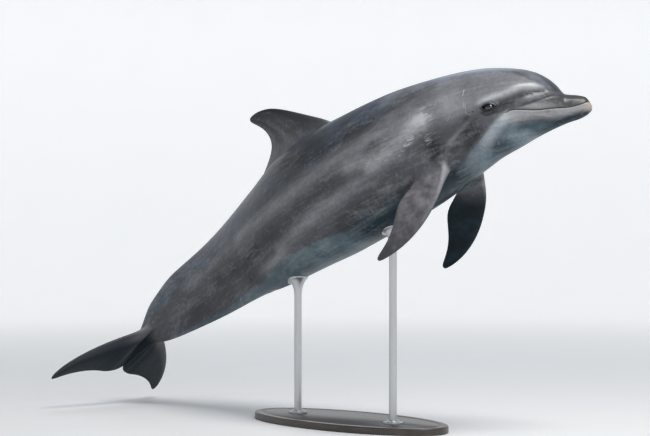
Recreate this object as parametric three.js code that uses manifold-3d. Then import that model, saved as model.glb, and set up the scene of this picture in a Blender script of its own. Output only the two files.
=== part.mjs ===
// Bottlenose dolphin, life size, as a still display model on a two-rod stand.
// Millimetres, +Z up. The origin is the centre of the underside of the stand's base,
// the dolphin heads along +X and its right side faces -Y.

import * as THREE from 'three';
import { mergeVertices } from 'three/addons/utils/BufferGeometryUtils.js';
import Module from 'manifold-3d';

// ---------------------------------------------------------------- driving sizes

const partingGap = 0.3; // clear gap between neighbouring pieces

// Body profile. at: distance along the spine from the tip of the lower jaw.
// back, belly: heights of the outline above and below the spine. half: half the width.
const profile = [
  { at: 0, back: -8, belly: -21, half: 7 },
  { at: 5, back: 1, belly: -28, half: 15 },
  { at: 12, back: 16, belly: -34, half: 20 },
  { at: 22, back: 28, belly: -41, half: 25 },
  { at: 52, back: 39, belly: -52, half: 33 },
  { at: 96, back: 50, belly: -60, half: 43 }, // crease between beak and melon
  { at: 120, back: 85, belly: -66, half: 57 },
  { at: 156, back: 123, belly: -76, half: 77 },
  { at: 208, back: 156, belly: -93, half: 100 },
  { at: 286, back: 181, belly: -122, half: 125 },
  { at: 364, back: 199, belly: -144, half: 141 },
  { at: 520, back: 221, belly: -193, half: 163 },
  { at: 728, back: 251, belly: -230, half: 188 },
  { at: 936, back: 267, belly: -242, half: 199 },
  { at: 1144, back: 279, belly: -244, half: 195 },
  { at: 1352, back: 275, belly: -232, half: 177 },
  { at: 1560, back: 237, belly: -214, half: 147 },
  { at: 1768, back: 205, belly: -178, half: 111 },
  { at: 1976, back: 184, belly: -151, half: 75 },
  { at: 2184, back: 171, belly: -113, half: 45 },
  { at: 2340, back: 120, belly: -80, half: 29 },
  { at: 2444, back: 50, belly: -36, half: 26 },
  { at: 2550, back: 17, belly: -17, half: 18 },
];

// Roundness of the cross-section: 2 is an ellipse, less is keeled above and below.
const roundness = [[0, 2.0], [260, 2.1], [1040, 2.1], [1690, 1.9], [2080, 1.6], [2550, 1.6]];

// Bends of the spine, in degrees from its direction at midBody.
const midBody = 1170;
const spinePitch = [
  [0, -10.7], [208, -10.1], [364, -6.5], [624, -0.5], [midBody, 0], [1430, 2.1],
  [1664, 4.9], [1950, 9.1], [2132, 10.5], [2290, 9.5], [2392, 17], [2496, 26], [2760, 26],
];
const spineYaw = [
  [0, 32], [208, 32], [364, 26], [624, 10.3], [884, 3.3], [midBody, 0], [1430, -1.7],
  [1664, -1.2], [1950, 5.3], [2132, 10.3], [2392, 14.2], [2760, 15.2],
];

// Attitude of the whole animal on its stand.
const climbAngle = 22.5; // nose up
const bankAngle = -2.6; // left side down
const midBodyPlace = new THREE.Vector3(-51, -18, 905);

// Where the body is parted, as distances along the spine.
const chestStart = 500;
const trunkStart = 860;
const tailStockStart = 1600;

// The mouth line in side view, as [at, height above the spine].
const mouthLine = [
  [0, 10], [12, 3], [30, -4], [52, -10], [75, -14], [102, -15], [145, -18], [190, -22],
  [240, -19], [270, -16], [298, -23],
];
const beakCrease = 98; // where the upper jaw meets the melon

// Eyes.
const eyeAt = 351;
const eyeHeight = 8;
const eyeRadius = 17;
const eyeDepth = 12; // of its centre under the skin

// Outlines of the fins, each as [span outwards, distance aft].
// Dorsal fin: span above the back, aft from the snout.
const dorsalFin = {
  leading: [
    [-30, 1020], [16, 1083], [60, 1152], [110, 1226], [158, 1289], [215, 1367], [250, 1420],
    [281, 1484], [287, 1526],
  ],
  trailing: [
    [-30, 1612], [22, 1580], [46, 1500], [82, 1450], [119, 1443], [168, 1455], [224, 1491],
    [268, 1527], [287, 1526],
  ],
  rootThickness: 64,
  tipThickness: 9,
};
// Flipper: aft of a line through the shoulder.
const flipper = {
  leading: [
    [-40, -104], [10, -98], [70, -86], [130, -78], [190, -64], [250, -42], [312, -4], [364, 44],
    [397, 92], [402, 110],
  ],
  trailing: [
    [-40, 6], [20, 6], [70, 18], [112, 52], [160, 80], [215, 78], [290, 82], [350, 103], [388, 119],
    [402, 110],
  ],
  rootThickness: 62,
  tipThickness: 8,
  shoulderAt: 624,
  shoulderOut: 0.72, // share of the half width
  shoulderDrop: 0.58, // share of the half height, below the middle of the side
};
const flipperPose = {
  right: { side: -1, down: 66, sweep: 10.5, twist: 18.5 },
  left: { side: 1, down: 55.5, sweep: 26.5, twist: -7.5 },
};
// Fluke: span from the centre line, aft from the snout.
const fluke = {
  leading: [
    [0, 2330], [49, 2384], [123, 2437], [200, 2495], [278, 2570], [333, 2650], [356, 2715],
    [350, 2742],
  ],
  trailing: [
    [0, 2630], [20, 2657], [75, 2657], [138, 2656], [216, 2672], [290, 2706], [330, 2736],
    [350, 2742],
  ],
  rootThickness: 46,
  tipThickness: 7,
  tipLift: 15,
};
const finEdge = 1.6; // least thickness, at the edges
const finDeepest = 0.26; // most thickness, as a share of the chord

// Stand.
const baseLength = 1000;
const baseWidth = 440;
const baseThickness = 28;
const baseBevel = 4;
const rodRadius = 15;
const rodReach = 270; // of each rod, forward and aft of the middle of the base
const cupRadius = 42;
const cupRim = 14; // depth of the cup under its lowest edge
const collarRadius = 38;
const collarHeight = 16;

// Facets.
const bodySides = 28;
const ringRuns = [[0, 96, 8], [96, 364, 10], [364, 2184, 22], [2184, 2550, 11]]; // from, to, rings
const baseSegments = 48;
const eyeFacets = [14, 8];
const finSections = 13;
const finFacePoints = 7; // from edge to edge on each face

// ---------------------------------------------------------------- curves

const radians = THREE.MathUtils.degToRad;

// A smooth curve through points that never swings past them (monotone cubic).
function smoothThrough(points) {
  const xs = points.map((p) => p[0]);
  const ys = points.map((p) => p[1]);
  const slope = (k) => (ys[k + 1] - ys[k]) / (xs[k + 1] - xs[k]);
  const last = xs.length - 1;
  const tangents = xs.map((x, k) => {
    if (k === 0) return slope(0);
    if (k === last) return slope(last - 1);
    const before = slope(k - 1);
    const after = slope(k);
    return before * after <= 0 ? 0 : (2 * before * after) / (before + after);
  });
  return (x) => {
    if (x <= xs[0]) return ys[0];
    if (x >= xs[last]) return ys[last];
    const k = xs.findIndex((start, i) => x >= start && x < xs[i + 1]);
    const width = xs[k + 1] - xs[k];
    const t = (x - xs[k]) / width;
    const rise = t * t * (3 - 2 * t);
    const bow = t * (1 - t);
    return ys[k] * (1 - rise) + ys[k + 1] * rise
      + width * bow * (tangents[k] * (1 - t) - tangents[k + 1] * t);
  };
}

const backHeight = smoothThrough(profile.map((p) => [p.at, p.back]));
const bellyHeight = smoothThrough(profile.map((p) => [p.at, p.belly]));
const halfWidth = smoothThrough(profile.map((p) => [p.at, p.half]));
const roundnessAt = smoothThrough(roundness);
const pitchAt = smoothThrough(spinePitch);
const yawAt = smoothThrough(spineYaw);
const mouthHeight = smoothThrough(mouthLine);

// ---------------------------------------------------------------- the bent spine

const spineStart = -200;
const spineEnd = 2900;
const spineStep = 10;

function spineDirections(at) {
  const pitch = radians(pitchAt(at));
  const yaw = radians(yawAt(at));
  const forward = new THREE.Vector3(
    Math.cos(pitch) * Math.cos(yaw),
    Math.cos(pitch) * Math.sin(yaw),
    Math.sin(pitch),
  );
  const left = new THREE.Vector3(-Math.sin(yaw), Math.cos(yaw), 0);
  return { forward, left, up: forward.clone().cross(left) };
}

// Points of the spine every spineStep, found by adding up short straight steps.
function walkSpine() {
  const points = [new THREE.Vector3()];
  for (let at = spineStart; at < spineEnd; at += spineStep) {
    const { forward } = spineDirections(at + spineStep / 2);
    points.push(points[points.length - 1].clone().addScaledVector(forward, -spineStep));
  }
  const middle = points[(midBody - spineStart) / spineStep].clone();
  return points.map((point) => point.sub(middle));
}

const spine = walkSpine();

function spinePoint(at) {
  const place = (at - spineStart) / spineStep;
  const index = Math.floor(place);
  return spine[index].clone().lerp(spine[index + 1], place - index);
}

// A place given by its distance along the spine, to the left of it and above it.
function bodyPoint(at, left, up) {
  const axes = spineDirections(at);
  return spinePoint(at).addScaledVector(axes.left, left).addScaledVector(axes.up, up);
}

// ---------------------------------------------------------------- solids

const wasm = await Module();
wasm.setup();

// Joins rings of equal length into a closed skin, with a fan over each end.
function loft(rings) {
  const sides = rings[0].length;
  const points = rings.flat();
  const triangles = [];
  for (let r = 0; r + 1 < rings.length; r += 1) {
    for (let k = 0; k < sides; k += 1) {
      const a = r * sides + k;
      const b = r * sides + ((k + 1) % sides);
      triangles.push(a, b, a + sides, b, b + sides, a + sides);
    }
  }
  const capRing = (start, flip) => {
    const centre = new THREE.Vector3();
    for (let k = 0; k < sides; k += 1) centre.addScaledVector(points[start + k], 1 / sides);
    const tip = points.push(centre) - 1;
    for (let k = 0; k < sides; k += 1) {
      const a = start + k;
      const b = start + ((k + 1) % sides);
      triangles.push(...(flip ? [tip, a, b] : [tip, b, a]));
    }
  };
  capRing(0, false);
  capRing((rings.length - 1) * sides, true);
  const geometry = new THREE.BufferGeometry().setFromPoints(points);
  geometry.setIndex(triangles);
  return facingOut(geometry);
}

// Turns every triangle over if the skin faces inwards.
function facingOut(geometry) {
  const position = geometry.getAttribute('position');
  const index = geometry.getIndex();
  const corner = (k) => new THREE.Vector3().fromBufferAttribute(position, index.getX(k));
  let volume = 0;
  for (let k = 0; k < index.count; k += 3) {
    volume += corner(k).dot(corner(k + 1).cross(corner(k + 2)));
  }
  if (volume < 0) index.array.reverse();
  return geometry;
}

function solidOf(geometry) {
  const plain = geometry.clone();
  plain.deleteAttribute('normal');
  plain.deleteAttribute('uv');
  const merged = mergeVertices(plain, 1e-3);
  return new wasm.Manifold(new wasm.Mesh({
    numProp: 3,
    vertProperties: new Float32Array(merged.getAttribute('position').array),
    triVerts: new Uint32Array(merged.getIndex().array),
  }));
}

function geometryOf(solid) {
  const mesh = solid.getMesh();
  const geometry = new THREE.BufferGeometry();
  geometry.setAttribute('position', new THREE.BufferAttribute(mesh.vertProperties, 3));
  geometry.setIndex(new THREE.BufferAttribute(mesh.triVerts, 1));
  return geometry;
}

// ---------------------------------------------------------------- body

function ringStations() {
  const stations = ringRuns.flatMap(([from, to, count]) =>
    Array.from({ length: count }, (_, k) => from + ((to - from) * k) / count));
  return [...stations, profile[profile.length - 1].at];
}

function bodyRing(at, grow) {
  const middle = (backHeight(at) + bellyHeight(at)) / 2;
  const tall = (backHeight(at) - bellyHeight(at)) / 2 + grow;
  const wide = halfWidth(at) + grow;
  const power = 2 / roundnessAt(at);
  const bulge = (value) => Math.sign(value) * Math.abs(value) ** power;
  return Array.from({ length: bodySides }, (_, k) => {
    const angle = ((k + 0.5) / bodySides) * 2 * Math.PI;
    return bodyPoint(at, wide * bulge(Math.cos(angle)), middle + tall * bulge(Math.sin(angle)));
  });
}

function bodySolid(grow) {
  return solidOf(loft(ringStations().map((at) => bodyRing(at, grow))));
}

const wholeBody = bodySolid(0);
const clearOfBody = bodySolid(partingGap);

const reach = 420; // of a cutting solid, well clear of the body
const snoutFront = profile[0].at - 60;
const bodyEnd = profile[profile.length - 1].at + 40;

// The stretch of space between two stations of the spine.
function stretch(from, to) {
  const stations = [from, to];
  for (let at = Math.ceil((from + 1) / 40) * 40; at < to - 1; at += 40) stations.push(at);
  stations.sort((a, b) => a - b);
  const corners = [[-reach, -reach], [reach, -reach], [reach, reach], [-reach, reach]];
  return solidOf(loft(stations.map((at) => corners.map(([left, up]) => bodyPoint(at, left, up)))));
}

// Everything ahead of a station, above or below the mouth line.
function jawSpace(rear, side, grow) {
  const stations = [snoutFront];
  for (let at = 0; at < rear - 2; at += 12) stations.push(at);
  stations.push(rear + grow);
  return solidOf(loft(stations.map((at) => {
    const lip = mouthHeight(at) + side * (partingGap / 2 - grow);
    const far = side * reach;
    return [[-reach, lip], [reach, lip], [reach, far], [-reach, far]]
      .map(([left, up]) => bodyPoint(at, left, up));
  })));
}

const mouthCorner = mouthLine[mouthLine.length - 1][0];
const upperJaw = wholeBody.intersect(jawSpace(beakCrease, 1, 0));
const lowerJaw = wholeBody.intersect(jawSpace(mouthCorner, -1, 0));

function eyeCentre(side) {
  const at = eyeAt;
  const middle = (backHeight(at) + bellyHeight(at)) / 2;
  const tall = (backHeight(at) - bellyHeight(at)) / 2;
  const share = (eyeHeight - middle) / tall;
  const out = halfWidth(at) * (1 - Math.abs(share) ** roundnessAt(at)) ** (1 / roundnessAt(at));
  return bodyPoint(at, side * (out - eyeDepth), eyeHeight);
}

function eyeball(side, grow) {
  const geometry = new THREE.SphereGeometry(eyeRadius + grow, ...eyeFacets);
  const centre = eyeCentre(side);
  return geometry.translate(centre.x, centre.y, centre.z);
}

const head = wholeBody
  .intersect(stretch(snoutFront, chestStart - partingGap / 2))
  .subtract(jawSpace(beakCrease, 1, partingGap))
  .subtract(jawSpace(mouthCorner, -1, partingGap))
  .subtract(solidOf(eyeball(1, partingGap)))
  .subtract(solidOf(eyeball(-1, partingGap)));
const chest = wholeBody.intersect(stretch(chestStart + partingGap / 2, trunkStart - partingGap / 2));
const trunk = wholeBody.intersect(stretch(trunkStart + partingGap / 2, tailStockStart - partingGap / 2));
const tailStock = wholeBody.intersect(stretch(tailStockStart + partingGap / 2, bodyEnd));

// ---------------------------------------------------------------- fins

// Half the thickness of a fin's section, as a share of the whole, at a share of its chord.
function finProfile(share) {
  const rounded = 1.4845 * Math.sqrt(share) - 0.63 * share - 1.758 * share ** 2;
  return rounded + 1.4215 * share ** 3 - 0.518 * share ** 4;
}

// A fin between its two edges. toBody places a point from its span, aft and offset.
function finSolid(shape, toBody) {
  const edge = (points) => new THREE.SplineCurve(points.map(([span, aft]) => new THREE.Vector2(span, aft)));
  const leading = edge(shape.leading);
  const trailing = edge(shape.trailing);
  const rings = [];
  for (let s = 0; s <= finSections; s += 1) {
    const along = Math.sin(((s / finSections) * 0.994 * Math.PI) / 2);
    const front = leading.getPoint(along);
    const rear = trailing.getPoint(along);
    const chord = front.distanceTo(rear);
    const full = THREE.MathUtils.lerp(shape.rootThickness, shape.tipThickness, along);
    const thickness = Math.min(full, finDeepest * chord);
    const face = (sign) => Array.from({ length: finFacePoints }, (_, k) => {
      const share = (1 - Math.cos((k / (finFacePoints - 1)) * Math.PI)) / 2;
      const place = front.clone().lerp(rear, share);
      return toBody(place.x, place.y, sign * (finProfile(share) * thickness + finEdge / 2));
    });
    rings.push([...face(1), ...face(-1).reverse()]);
  }
  return solidOf(loft(rings));
}

function dorsalPoint(span, aft, offset) {
  return bodyPoint(aft, offset, backHeight(aft) + span);
}

function flukePoint(side) {
  const span = fluke.leading[fluke.leading.length - 1][0];
  return (out, aft, offset) => {
    const lift = fluke.tipLift * (out / span) ** 1.5;
    return bodyPoint(aft, side * (out + partingGap / 2), offset + lift);
  };
}

// The shoulder's axes: outwards along the flipper, aft across it, and square to both.
function flipperPoint({ side, down, sweep, twist }) {
  const at = flipper.shoulderAt;
  const axes = spineDirections(at);
  const inBody = (forward, left, up) => new THREE.Vector3()
    .addScaledVector(axes.forward, forward)
    .addScaledVector(axes.left, left)
    .addScaledVector(axes.up, up);
  const out = inBody(
    -Math.sin(radians(sweep)),
    side * Math.cos(radians(sweep)) * Math.cos(radians(down)),
    -Math.cos(radians(sweep)) * Math.sin(radians(down)),
  );
  const level = axes.forward.clone().addScaledVector(out, -axes.forward.dot(out)).normalize();
  const forward = level.applyAxisAngle(out, side * radians(twist));
  const face = out.clone().cross(forward);
  const middle = (backHeight(at) + bellyHeight(at)) / 2;
  const tall = (backHeight(at) - bellyHeight(at)) / 2;
  const shoulder = bodyPoint(
    at,
    side * flipper.shoulderOut * halfWidth(at),
    middle - flipper.shoulderDrop * tall,
  );
  return (span, aft, offset) => shoulder.clone()
    .addScaledVector(out, span)
    .addScaledVector(forward, -aft)
    .addScaledVector(face, offset);
}

const dorsal = finSolid(dorsalFin, dorsalPoint).subtract(clearOfBody);
const flippers = Object.entries(flipperPose).map(([name, pose]) =>
  [name, finSolid(flipper, flipperPoint(pose)).subtract(clearOfBody)]);
const flukes = [['right', -1], ['left', 1]].map(([name, side]) =>
  [name, finSolid(fluke, flukePoint(side)).subtract(clearOfBody)]);

// ---------------------------------------------------------------- the animal on its stand

const group = new THREE.Group();
const dolphin = new THREE.Group();
dolphin.position.copy(midBodyPlace);
dolphin.rotation.set(radians(bankAngle), -radians(climbAngle), 0, 'ZYX');
dolphin.updateMatrix();
group.add(dolphin);

function skinMaterial(color) {
  return new THREE.MeshStandardMaterial({ color, roughness: 0.35, metalness: 0 });
}

function addMesh(parent, name, geometry, material) {
  const mesh = new THREE.Mesh(geometry, material);
  mesh.name = name;
  parent.add(mesh);
}

addMesh(dolphin, 'head', geometryOf(head), skinMaterial('#74757d'));
addMesh(dolphin, 'upper_jaw', geometryOf(upperJaw), skinMaterial('#7f7f88'));
addMesh(dolphin, 'lower_jaw', geometryOf(lowerJaw), skinMaterial('#a59ca3'));
addMesh(dolphin, 'chest', geometryOf(chest), skinMaterial('#7d7a82'));
addMesh(dolphin, 'trunk', geometryOf(trunk), skinMaterial('#6d6c75'));
addMesh(dolphin, 'tail_stock', geometryOf(tailStock), skinMaterial('#565a64'));
addMesh(dolphin, 'dorsal_fin', geometryOf(dorsal), skinMaterial('#4d525c'));
for (const [name, solid] of flippers) {
  addMesh(dolphin, `flipper_${name}`, geometryOf(solid), skinMaterial('#4e4a50'));
}
for (const [name, solid] of flukes) {
  addMesh(dolphin, `fluke_${name}`, geometryOf(solid), skinMaterial('#3c454c'));
}
for (const [name, side] of [['right', -1], ['left', 1]]) {
  const material = new THREE.MeshStandardMaterial({ color: '#17120f', roughness: 0.1, metalness: 0 });
  addMesh(dolphin, `eye_${name}`, eyeball(side, 0), material);
}

// ---------------------------------------------------------------- stand

const baseMaterial = new THREE.MeshStandardMaterial({ color: '#2b2b2d', roughness: 0.45, metalness: 0 });
const steel = new THREE.MeshStandardMaterial({ color: '#b7babd', roughness: 0.3, metalness: 1 });

// An oval plate with its rim bevelled above and below.
function basePlate() {
  const outline = new THREE.Shape();
  outline.absellipse(0, 0, baseLength / 2 - baseBevel, baseWidth / 2 - baseBevel, 0, 2 * Math.PI);
  const geometry = new THREE.ExtrudeGeometry(outline, {
    depth: baseThickness - 2 * baseBevel,
    bevelThickness: baseBevel,
    bevelSize: baseBevel,
    bevelSegments: 1,
    curveSegments: baseSegments,
  });
  return geometry.translate(0, 0, baseBevel);
}

// The point of the belly's keel that lies over a place along the base.
function keelOver(x) {
  for (let at = chestStart; at < tailStockStart; at += 2) {
    const point = bodyPoint(at, 0, bellyHeight(at)).applyMatrix4(dolphin.matrix);
    if (point.x <= x) return point;
  }
  throw new Error('the rod misses the belly');
}

function upright(radius, from, to, x, y, sides) {
  const geometry = new THREE.CylinderGeometry(radius, radius, to - from, sides);
  return geometry.rotateX(Math.PI / 2).translate(x, y, (from + to) / 2);
}

// A rod that widens at its top into a cup, both shaped to the belly that they carry.
function rodSolid(x) {
  const keel = keelOver(x);
  const slope = Math.tan(radians(climbAngle));
  const cupFrom = keel.z - cupRadius * slope - cupRim;
  const cupTo = keel.z + cupRadius * slope + cupRim;
  const body = solidOf(geometryOf(clearOfBody).applyMatrix4(dolphin.matrix));
  return solidOf(upright(rodRadius, baseThickness, cupFrom + cupRim, x, keel.y, 24))
    .add(solidOf(upright(cupRadius, cupFrom, cupTo, x, keel.y, 36)))
    .subtract(body);
}

function collarSolid(x) {
  const { y } = keelOver(x);
  const top = baseThickness + collarHeight;
  return solidOf(upright(collarRadius, baseThickness, top, x, y, 36))
    .subtract(solidOf(upright(rodRadius + partingGap, 0, top + 1, x, y, 24)));
}

addMesh(group, 'stand_base', basePlate(), baseMaterial);
for (const [name, x] of [['front', rodReach], ['rear', -rodReach]]) {
  addMesh(group, `stand_rod_${name}`, geometryOf(rodSolid(x)), steel);
  addMesh(group, `stand_collar_${name}`, geometryOf(collarSolid(x)), steel);
}

export default group;
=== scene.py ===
# %% [markdown]
# # A life-size bottlenose dolphin on its display stand
# The animal is climbing, with its head turned a little to its left and its tail flexed down.
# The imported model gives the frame: where every part is and how large. Here one smooth hide is
# modelled over all the parts of flesh, so that no seam shows, and eyes and stand stay separate.

# %% The frame, and the tools that every later cell uses
import math

import bmesh
import bpy
import numpy as np
from mathutils import Matrix, Vector
from mathutils.bvhtree import BVHTree


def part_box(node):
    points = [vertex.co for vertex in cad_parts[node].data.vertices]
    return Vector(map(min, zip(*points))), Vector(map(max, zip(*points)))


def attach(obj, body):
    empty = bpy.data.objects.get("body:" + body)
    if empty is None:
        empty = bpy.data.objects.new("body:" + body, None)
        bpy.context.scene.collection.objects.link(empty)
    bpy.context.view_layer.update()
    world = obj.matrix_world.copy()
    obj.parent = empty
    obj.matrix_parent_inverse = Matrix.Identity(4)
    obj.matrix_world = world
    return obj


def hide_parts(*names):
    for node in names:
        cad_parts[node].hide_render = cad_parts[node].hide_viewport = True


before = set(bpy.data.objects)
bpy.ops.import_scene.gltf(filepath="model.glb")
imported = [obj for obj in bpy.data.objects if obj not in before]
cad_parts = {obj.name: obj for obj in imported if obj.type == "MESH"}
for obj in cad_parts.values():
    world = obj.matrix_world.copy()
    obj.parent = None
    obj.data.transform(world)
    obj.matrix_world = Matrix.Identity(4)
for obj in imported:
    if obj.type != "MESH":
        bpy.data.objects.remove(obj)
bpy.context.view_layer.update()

MM = 0.001

# %% [markdown]
# ## The body's sizes
# A dolphin is a stiff spindle with a bending axis. It can be described as a set of stations along
# its spine, each with a height above it, a depth below it and a half width, and a smooth curve
# drawn through them. The same stations shape the solids of the frame, so the hide fits them.
# Lengths are in millimetres and angles in degrees; `at` is measured back from the tip of the snout.

# %% Stations, bends and attitude
PROFILE = [  # at, back, belly, half width
    (0, -8, -21, 7), (5, 1, -28, 15), (12, 16, -34, 20), (22, 28, -41, 25), (52, 39, -52, 33),
    (96, 50, -60, 43), (120, 85, -66, 57), (156, 123, -76, 77), (208, 156, -93, 100),
    (286, 181, -122, 125), (364, 199, -144, 141), (520, 221, -193, 163), (728, 251, -230, 188),
    (936, 267, -242, 199), (1144, 279, -244, 195), (1352, 275, -232, 177), (1560, 237, -214, 147),
    (1768, 205, -178, 111), (1976, 184, -151, 75), (2184, 171, -113, 45), (2340, 120, -80, 29),
    (2444, 50, -36, 26), (2550, 17, -17, 18), (2632, 5, -5, 10),
]
ROUNDNESS = [(0, 2.0), (260, 2.1), (1040, 2.1), (1690, 1.9), (2080, 1.6), (2632, 1.6)]
MID_BODY = 1170
SPINE_PITCH = [
    (0, -10.7), (208, -10.1), (364, -6.5), (624, -0.5), (MID_BODY, 0), (1430, 2.1), (1664, 4.9),
    (1950, 9.1), (2132, 10.5), (2290, 9.5), (2392, 17), (2496, 26), (2760, 26),
]
SPINE_YAW = [
    (0, 32), (208, 32), (364, 26), (624, 10.3), (884, 3.3), (MID_BODY, 0), (1430, -1.7),
    (1664, -1.2), (1950, 5.3), (2132, 10.3), (2392, 14.2), (2760, 15.2),
]
CLIMB, BANK = 22.5, -2.6
MID_BODY_PLACE = np.array([-51, -18, 905])
MOUTH_LINE = [(0, 10), (12, 3), (30, -4), (52, -10), (75, -14), (102, -15), (145, -18), (190, -22),
              (240, -19), (270, -16), (298, -23)]
MOUTH_CORNER = MOUTH_LINE[-1][0]

# %% Smooth curves through a few points


def smooth_curve(points):
    """A curve that passes through the points and never swings past them."""
    xs, ys = np.array(points, float).T
    slopes = np.diff(ys) / np.diff(xs)
    before, after = slopes[:-1], slopes[1:]
    rising = before * after > 0
    middle = np.where(rising, 2 * before * after / np.where(rising, before + after, 1), 0)
    tangents = np.concatenate([slopes[:1], middle, slopes[-1:]])

    def curve(x):
        x = np.clip(x, xs[0], xs[-1])
        k = np.clip(np.searchsorted(xs, x, side="right") - 1, 0, len(xs) - 2)
        width = xs[k + 1] - xs[k]
        t = (x - xs[k]) / width
        rise = t * t * (3 - 2 * t)
        bow = width * t * (1 - t)
        return (ys[k] * (1 - rise) + ys[k + 1] * rise
                + bow * (tangents[k] * (1 - t) - tangents[k + 1] * t))

    return curve


def smooth_step(low, high, value):
    """0 at low, 1 at high and soft between. Given the higher number first it falls instead."""
    t = np.clip((np.asarray(value, float) - low) / (high - low), 0, 1)
    return t * t * (3 - 2 * t)


def hump(distance, width):
    """1 where the distance is 0, falling softly to nothing about two widths away."""
    return np.exp(-(distance / width) ** 2)


back_height, belly_height, half_width = (
    smooth_curve([(row[0], row[column]) for row in PROFILE]) for column in (1, 2, 3))
roundness_at, pitch_at, yaw_at, mouth_height = (
    smooth_curve(points) for points in (ROUNDNESS, SPINE_PITCH, SPINE_YAW, MOUTH_LINE))
print("depth behind the shoulder:", round(float(back_height(MID_BODY) - belly_height(MID_BODY))), "mm")

# %% The bent spine, and a body place turned into a place in the room
SPINE_START, SPINE_END, SPINE_STEP = -200, 2900, 10


def spine_axes(at):
    pitch, yaw = np.radians(pitch_at(at)), np.radians(yaw_at(at))
    forward = np.stack([np.cos(pitch) * np.cos(yaw), np.cos(pitch) * np.sin(yaw), np.sin(pitch)], -1)
    left = np.stack([-np.sin(yaw), np.cos(yaw), 0 * yaw], -1)
    return forward, left, np.cross(forward, left)


stops = np.arange(SPINE_START, SPINE_END + 1, SPINE_STEP)
strides = spine_axes(stops[:-1] + SPINE_STEP / 2)[0] * -SPINE_STEP
spine = np.concatenate([np.zeros((1, 3)), np.cumsum(strides, 0)])
spine -= spine[(MID_BODY - SPINE_START) // SPINE_STEP]


def turn(degrees, axis):
    return np.array(Matrix.Rotation(math.radians(degrees), 3, axis))


ATTITUDE = turn(-CLIMB, "Y") @ turn(BANK, "X")


def to_room(place):
    """Millimetres in the animal's own axes, to metres in the room."""
    return (place @ ATTITUDE.T + MID_BODY_PLACE) * MM


def spine_point(at):
    return np.stack([np.interp(at, stops, spine[:, k]) for k in range(3)], -1)


def body_place(at, left, up):
    """A place on the animal from its distance along the spine, to the left of it and above it."""
    at, left, up = (np.asarray(v, float) for v in (at, left, up))
    _, leftward, upward = spine_axes(at)
    return spine_point(at) + left[..., None] * leftward + up[..., None] * upward


print("snout tip in the room:", to_room(body_place(0, 0, -12)).round(3))

# %% [markdown]
# ## Camera and studio
# The camera comes first, because everything after it is judged through it. It looks level from the
# right-hand front quarter, through a long lens, which is why the flank, the side of the face and the
# underside of the flukes all show. The room is plain: a pale floor that sweeps up into a pale wall,
# one big soft light overhead, one on the camera's side and a weak one behind to draw the back's edge.

# %% Camera
CAMERA_FROM_MID_BODY = np.array([5287, -5108, -85])
CAMERA_AZIMUTH = 46.33
LENS, SENSOR, SIGHT = 102.3, 36.0, 200.0


def new_object(name, data):
    item = bpy.data.objects.new(name, data)
    bpy.context.scene.collection.objects.link(item)
    return item


camera = new_object("camera", bpy.data.cameras.new("camera"))
camera.data.lens, camera.data.sensor_width, camera.data.clip_end = LENS, SENSOR, SIGHT
camera.location = (MID_BODY_PLACE + CAMERA_FROM_MID_BODY) * MM
camera.rotation_euler = (math.radians(90), 0, math.radians(CAMERA_AZIMUTH))
bpy.context.scene.camera = camera
print("camera at", [round(v, 2) for v in camera.location])

# %% Lights and the world
VIEW_AIM = Vector((0, 0, 0.85))
LIGHTS = [  # name, azimuth, elevation, distance, size, power, colour
    ("overhead", 82, 60, 5.5, 1.9, 235, (1.0, 0.98, 0.96)),
    ("camera_side", 70, 22, 6.0, 2.4, 45, (0.96, 0.98, 1.0)),
    ("rim", 220, 42, 5.5, 1.8, 26, (0.66, 0.82, 1.0)),
]
ROOM_LIGHT, ROOM_STRENGTH = (0.93, 0.96, 1.0, 1.0), 0.34


def soft_light(name, azimuth, elevation, distance, size, power, colour):
    """A square soft box that looks at the animal. Azimuth and elevation are as for a camera."""
    a, e = math.radians(azimuth), math.radians(elevation)
    way = Vector((math.sin(a) * math.cos(e), -math.cos(a) * math.cos(e), math.sin(e)))
    light = new_object(name, bpy.data.lights.new(name, "AREA"))
    light.data.shape, light.data.size, light.data.energy, light.data.color = "SQUARE", size, power, colour
    light.location = VIEW_AIM + way * distance
    light.rotation_euler = way.to_track_quat("Z", "Y").to_euler()


for light_values in LIGHTS:
    soft_light(*light_values)
world = bpy.data.worlds.new("room")
world.use_nodes = True
background = world.node_tree.nodes["Background"].inputs
background["Color"].default_value, background["Strength"].default_value = ROOM_LIGHT, ROOM_STRENGTH
bpy.context.scene.world = world
bpy.context.scene.view_settings.view_transform = "Standard"
print("lights:", len(LIGHTS))

# %% [markdown]
# ## Shader expressions
# A node tree is arithmetic drawn as boxes. Wrapping a socket in a small class that overloads the
# operators lets the sums be written as sums, and one method makes any other node.

# %% A socket that can be added, multiplied and mixed


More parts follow.
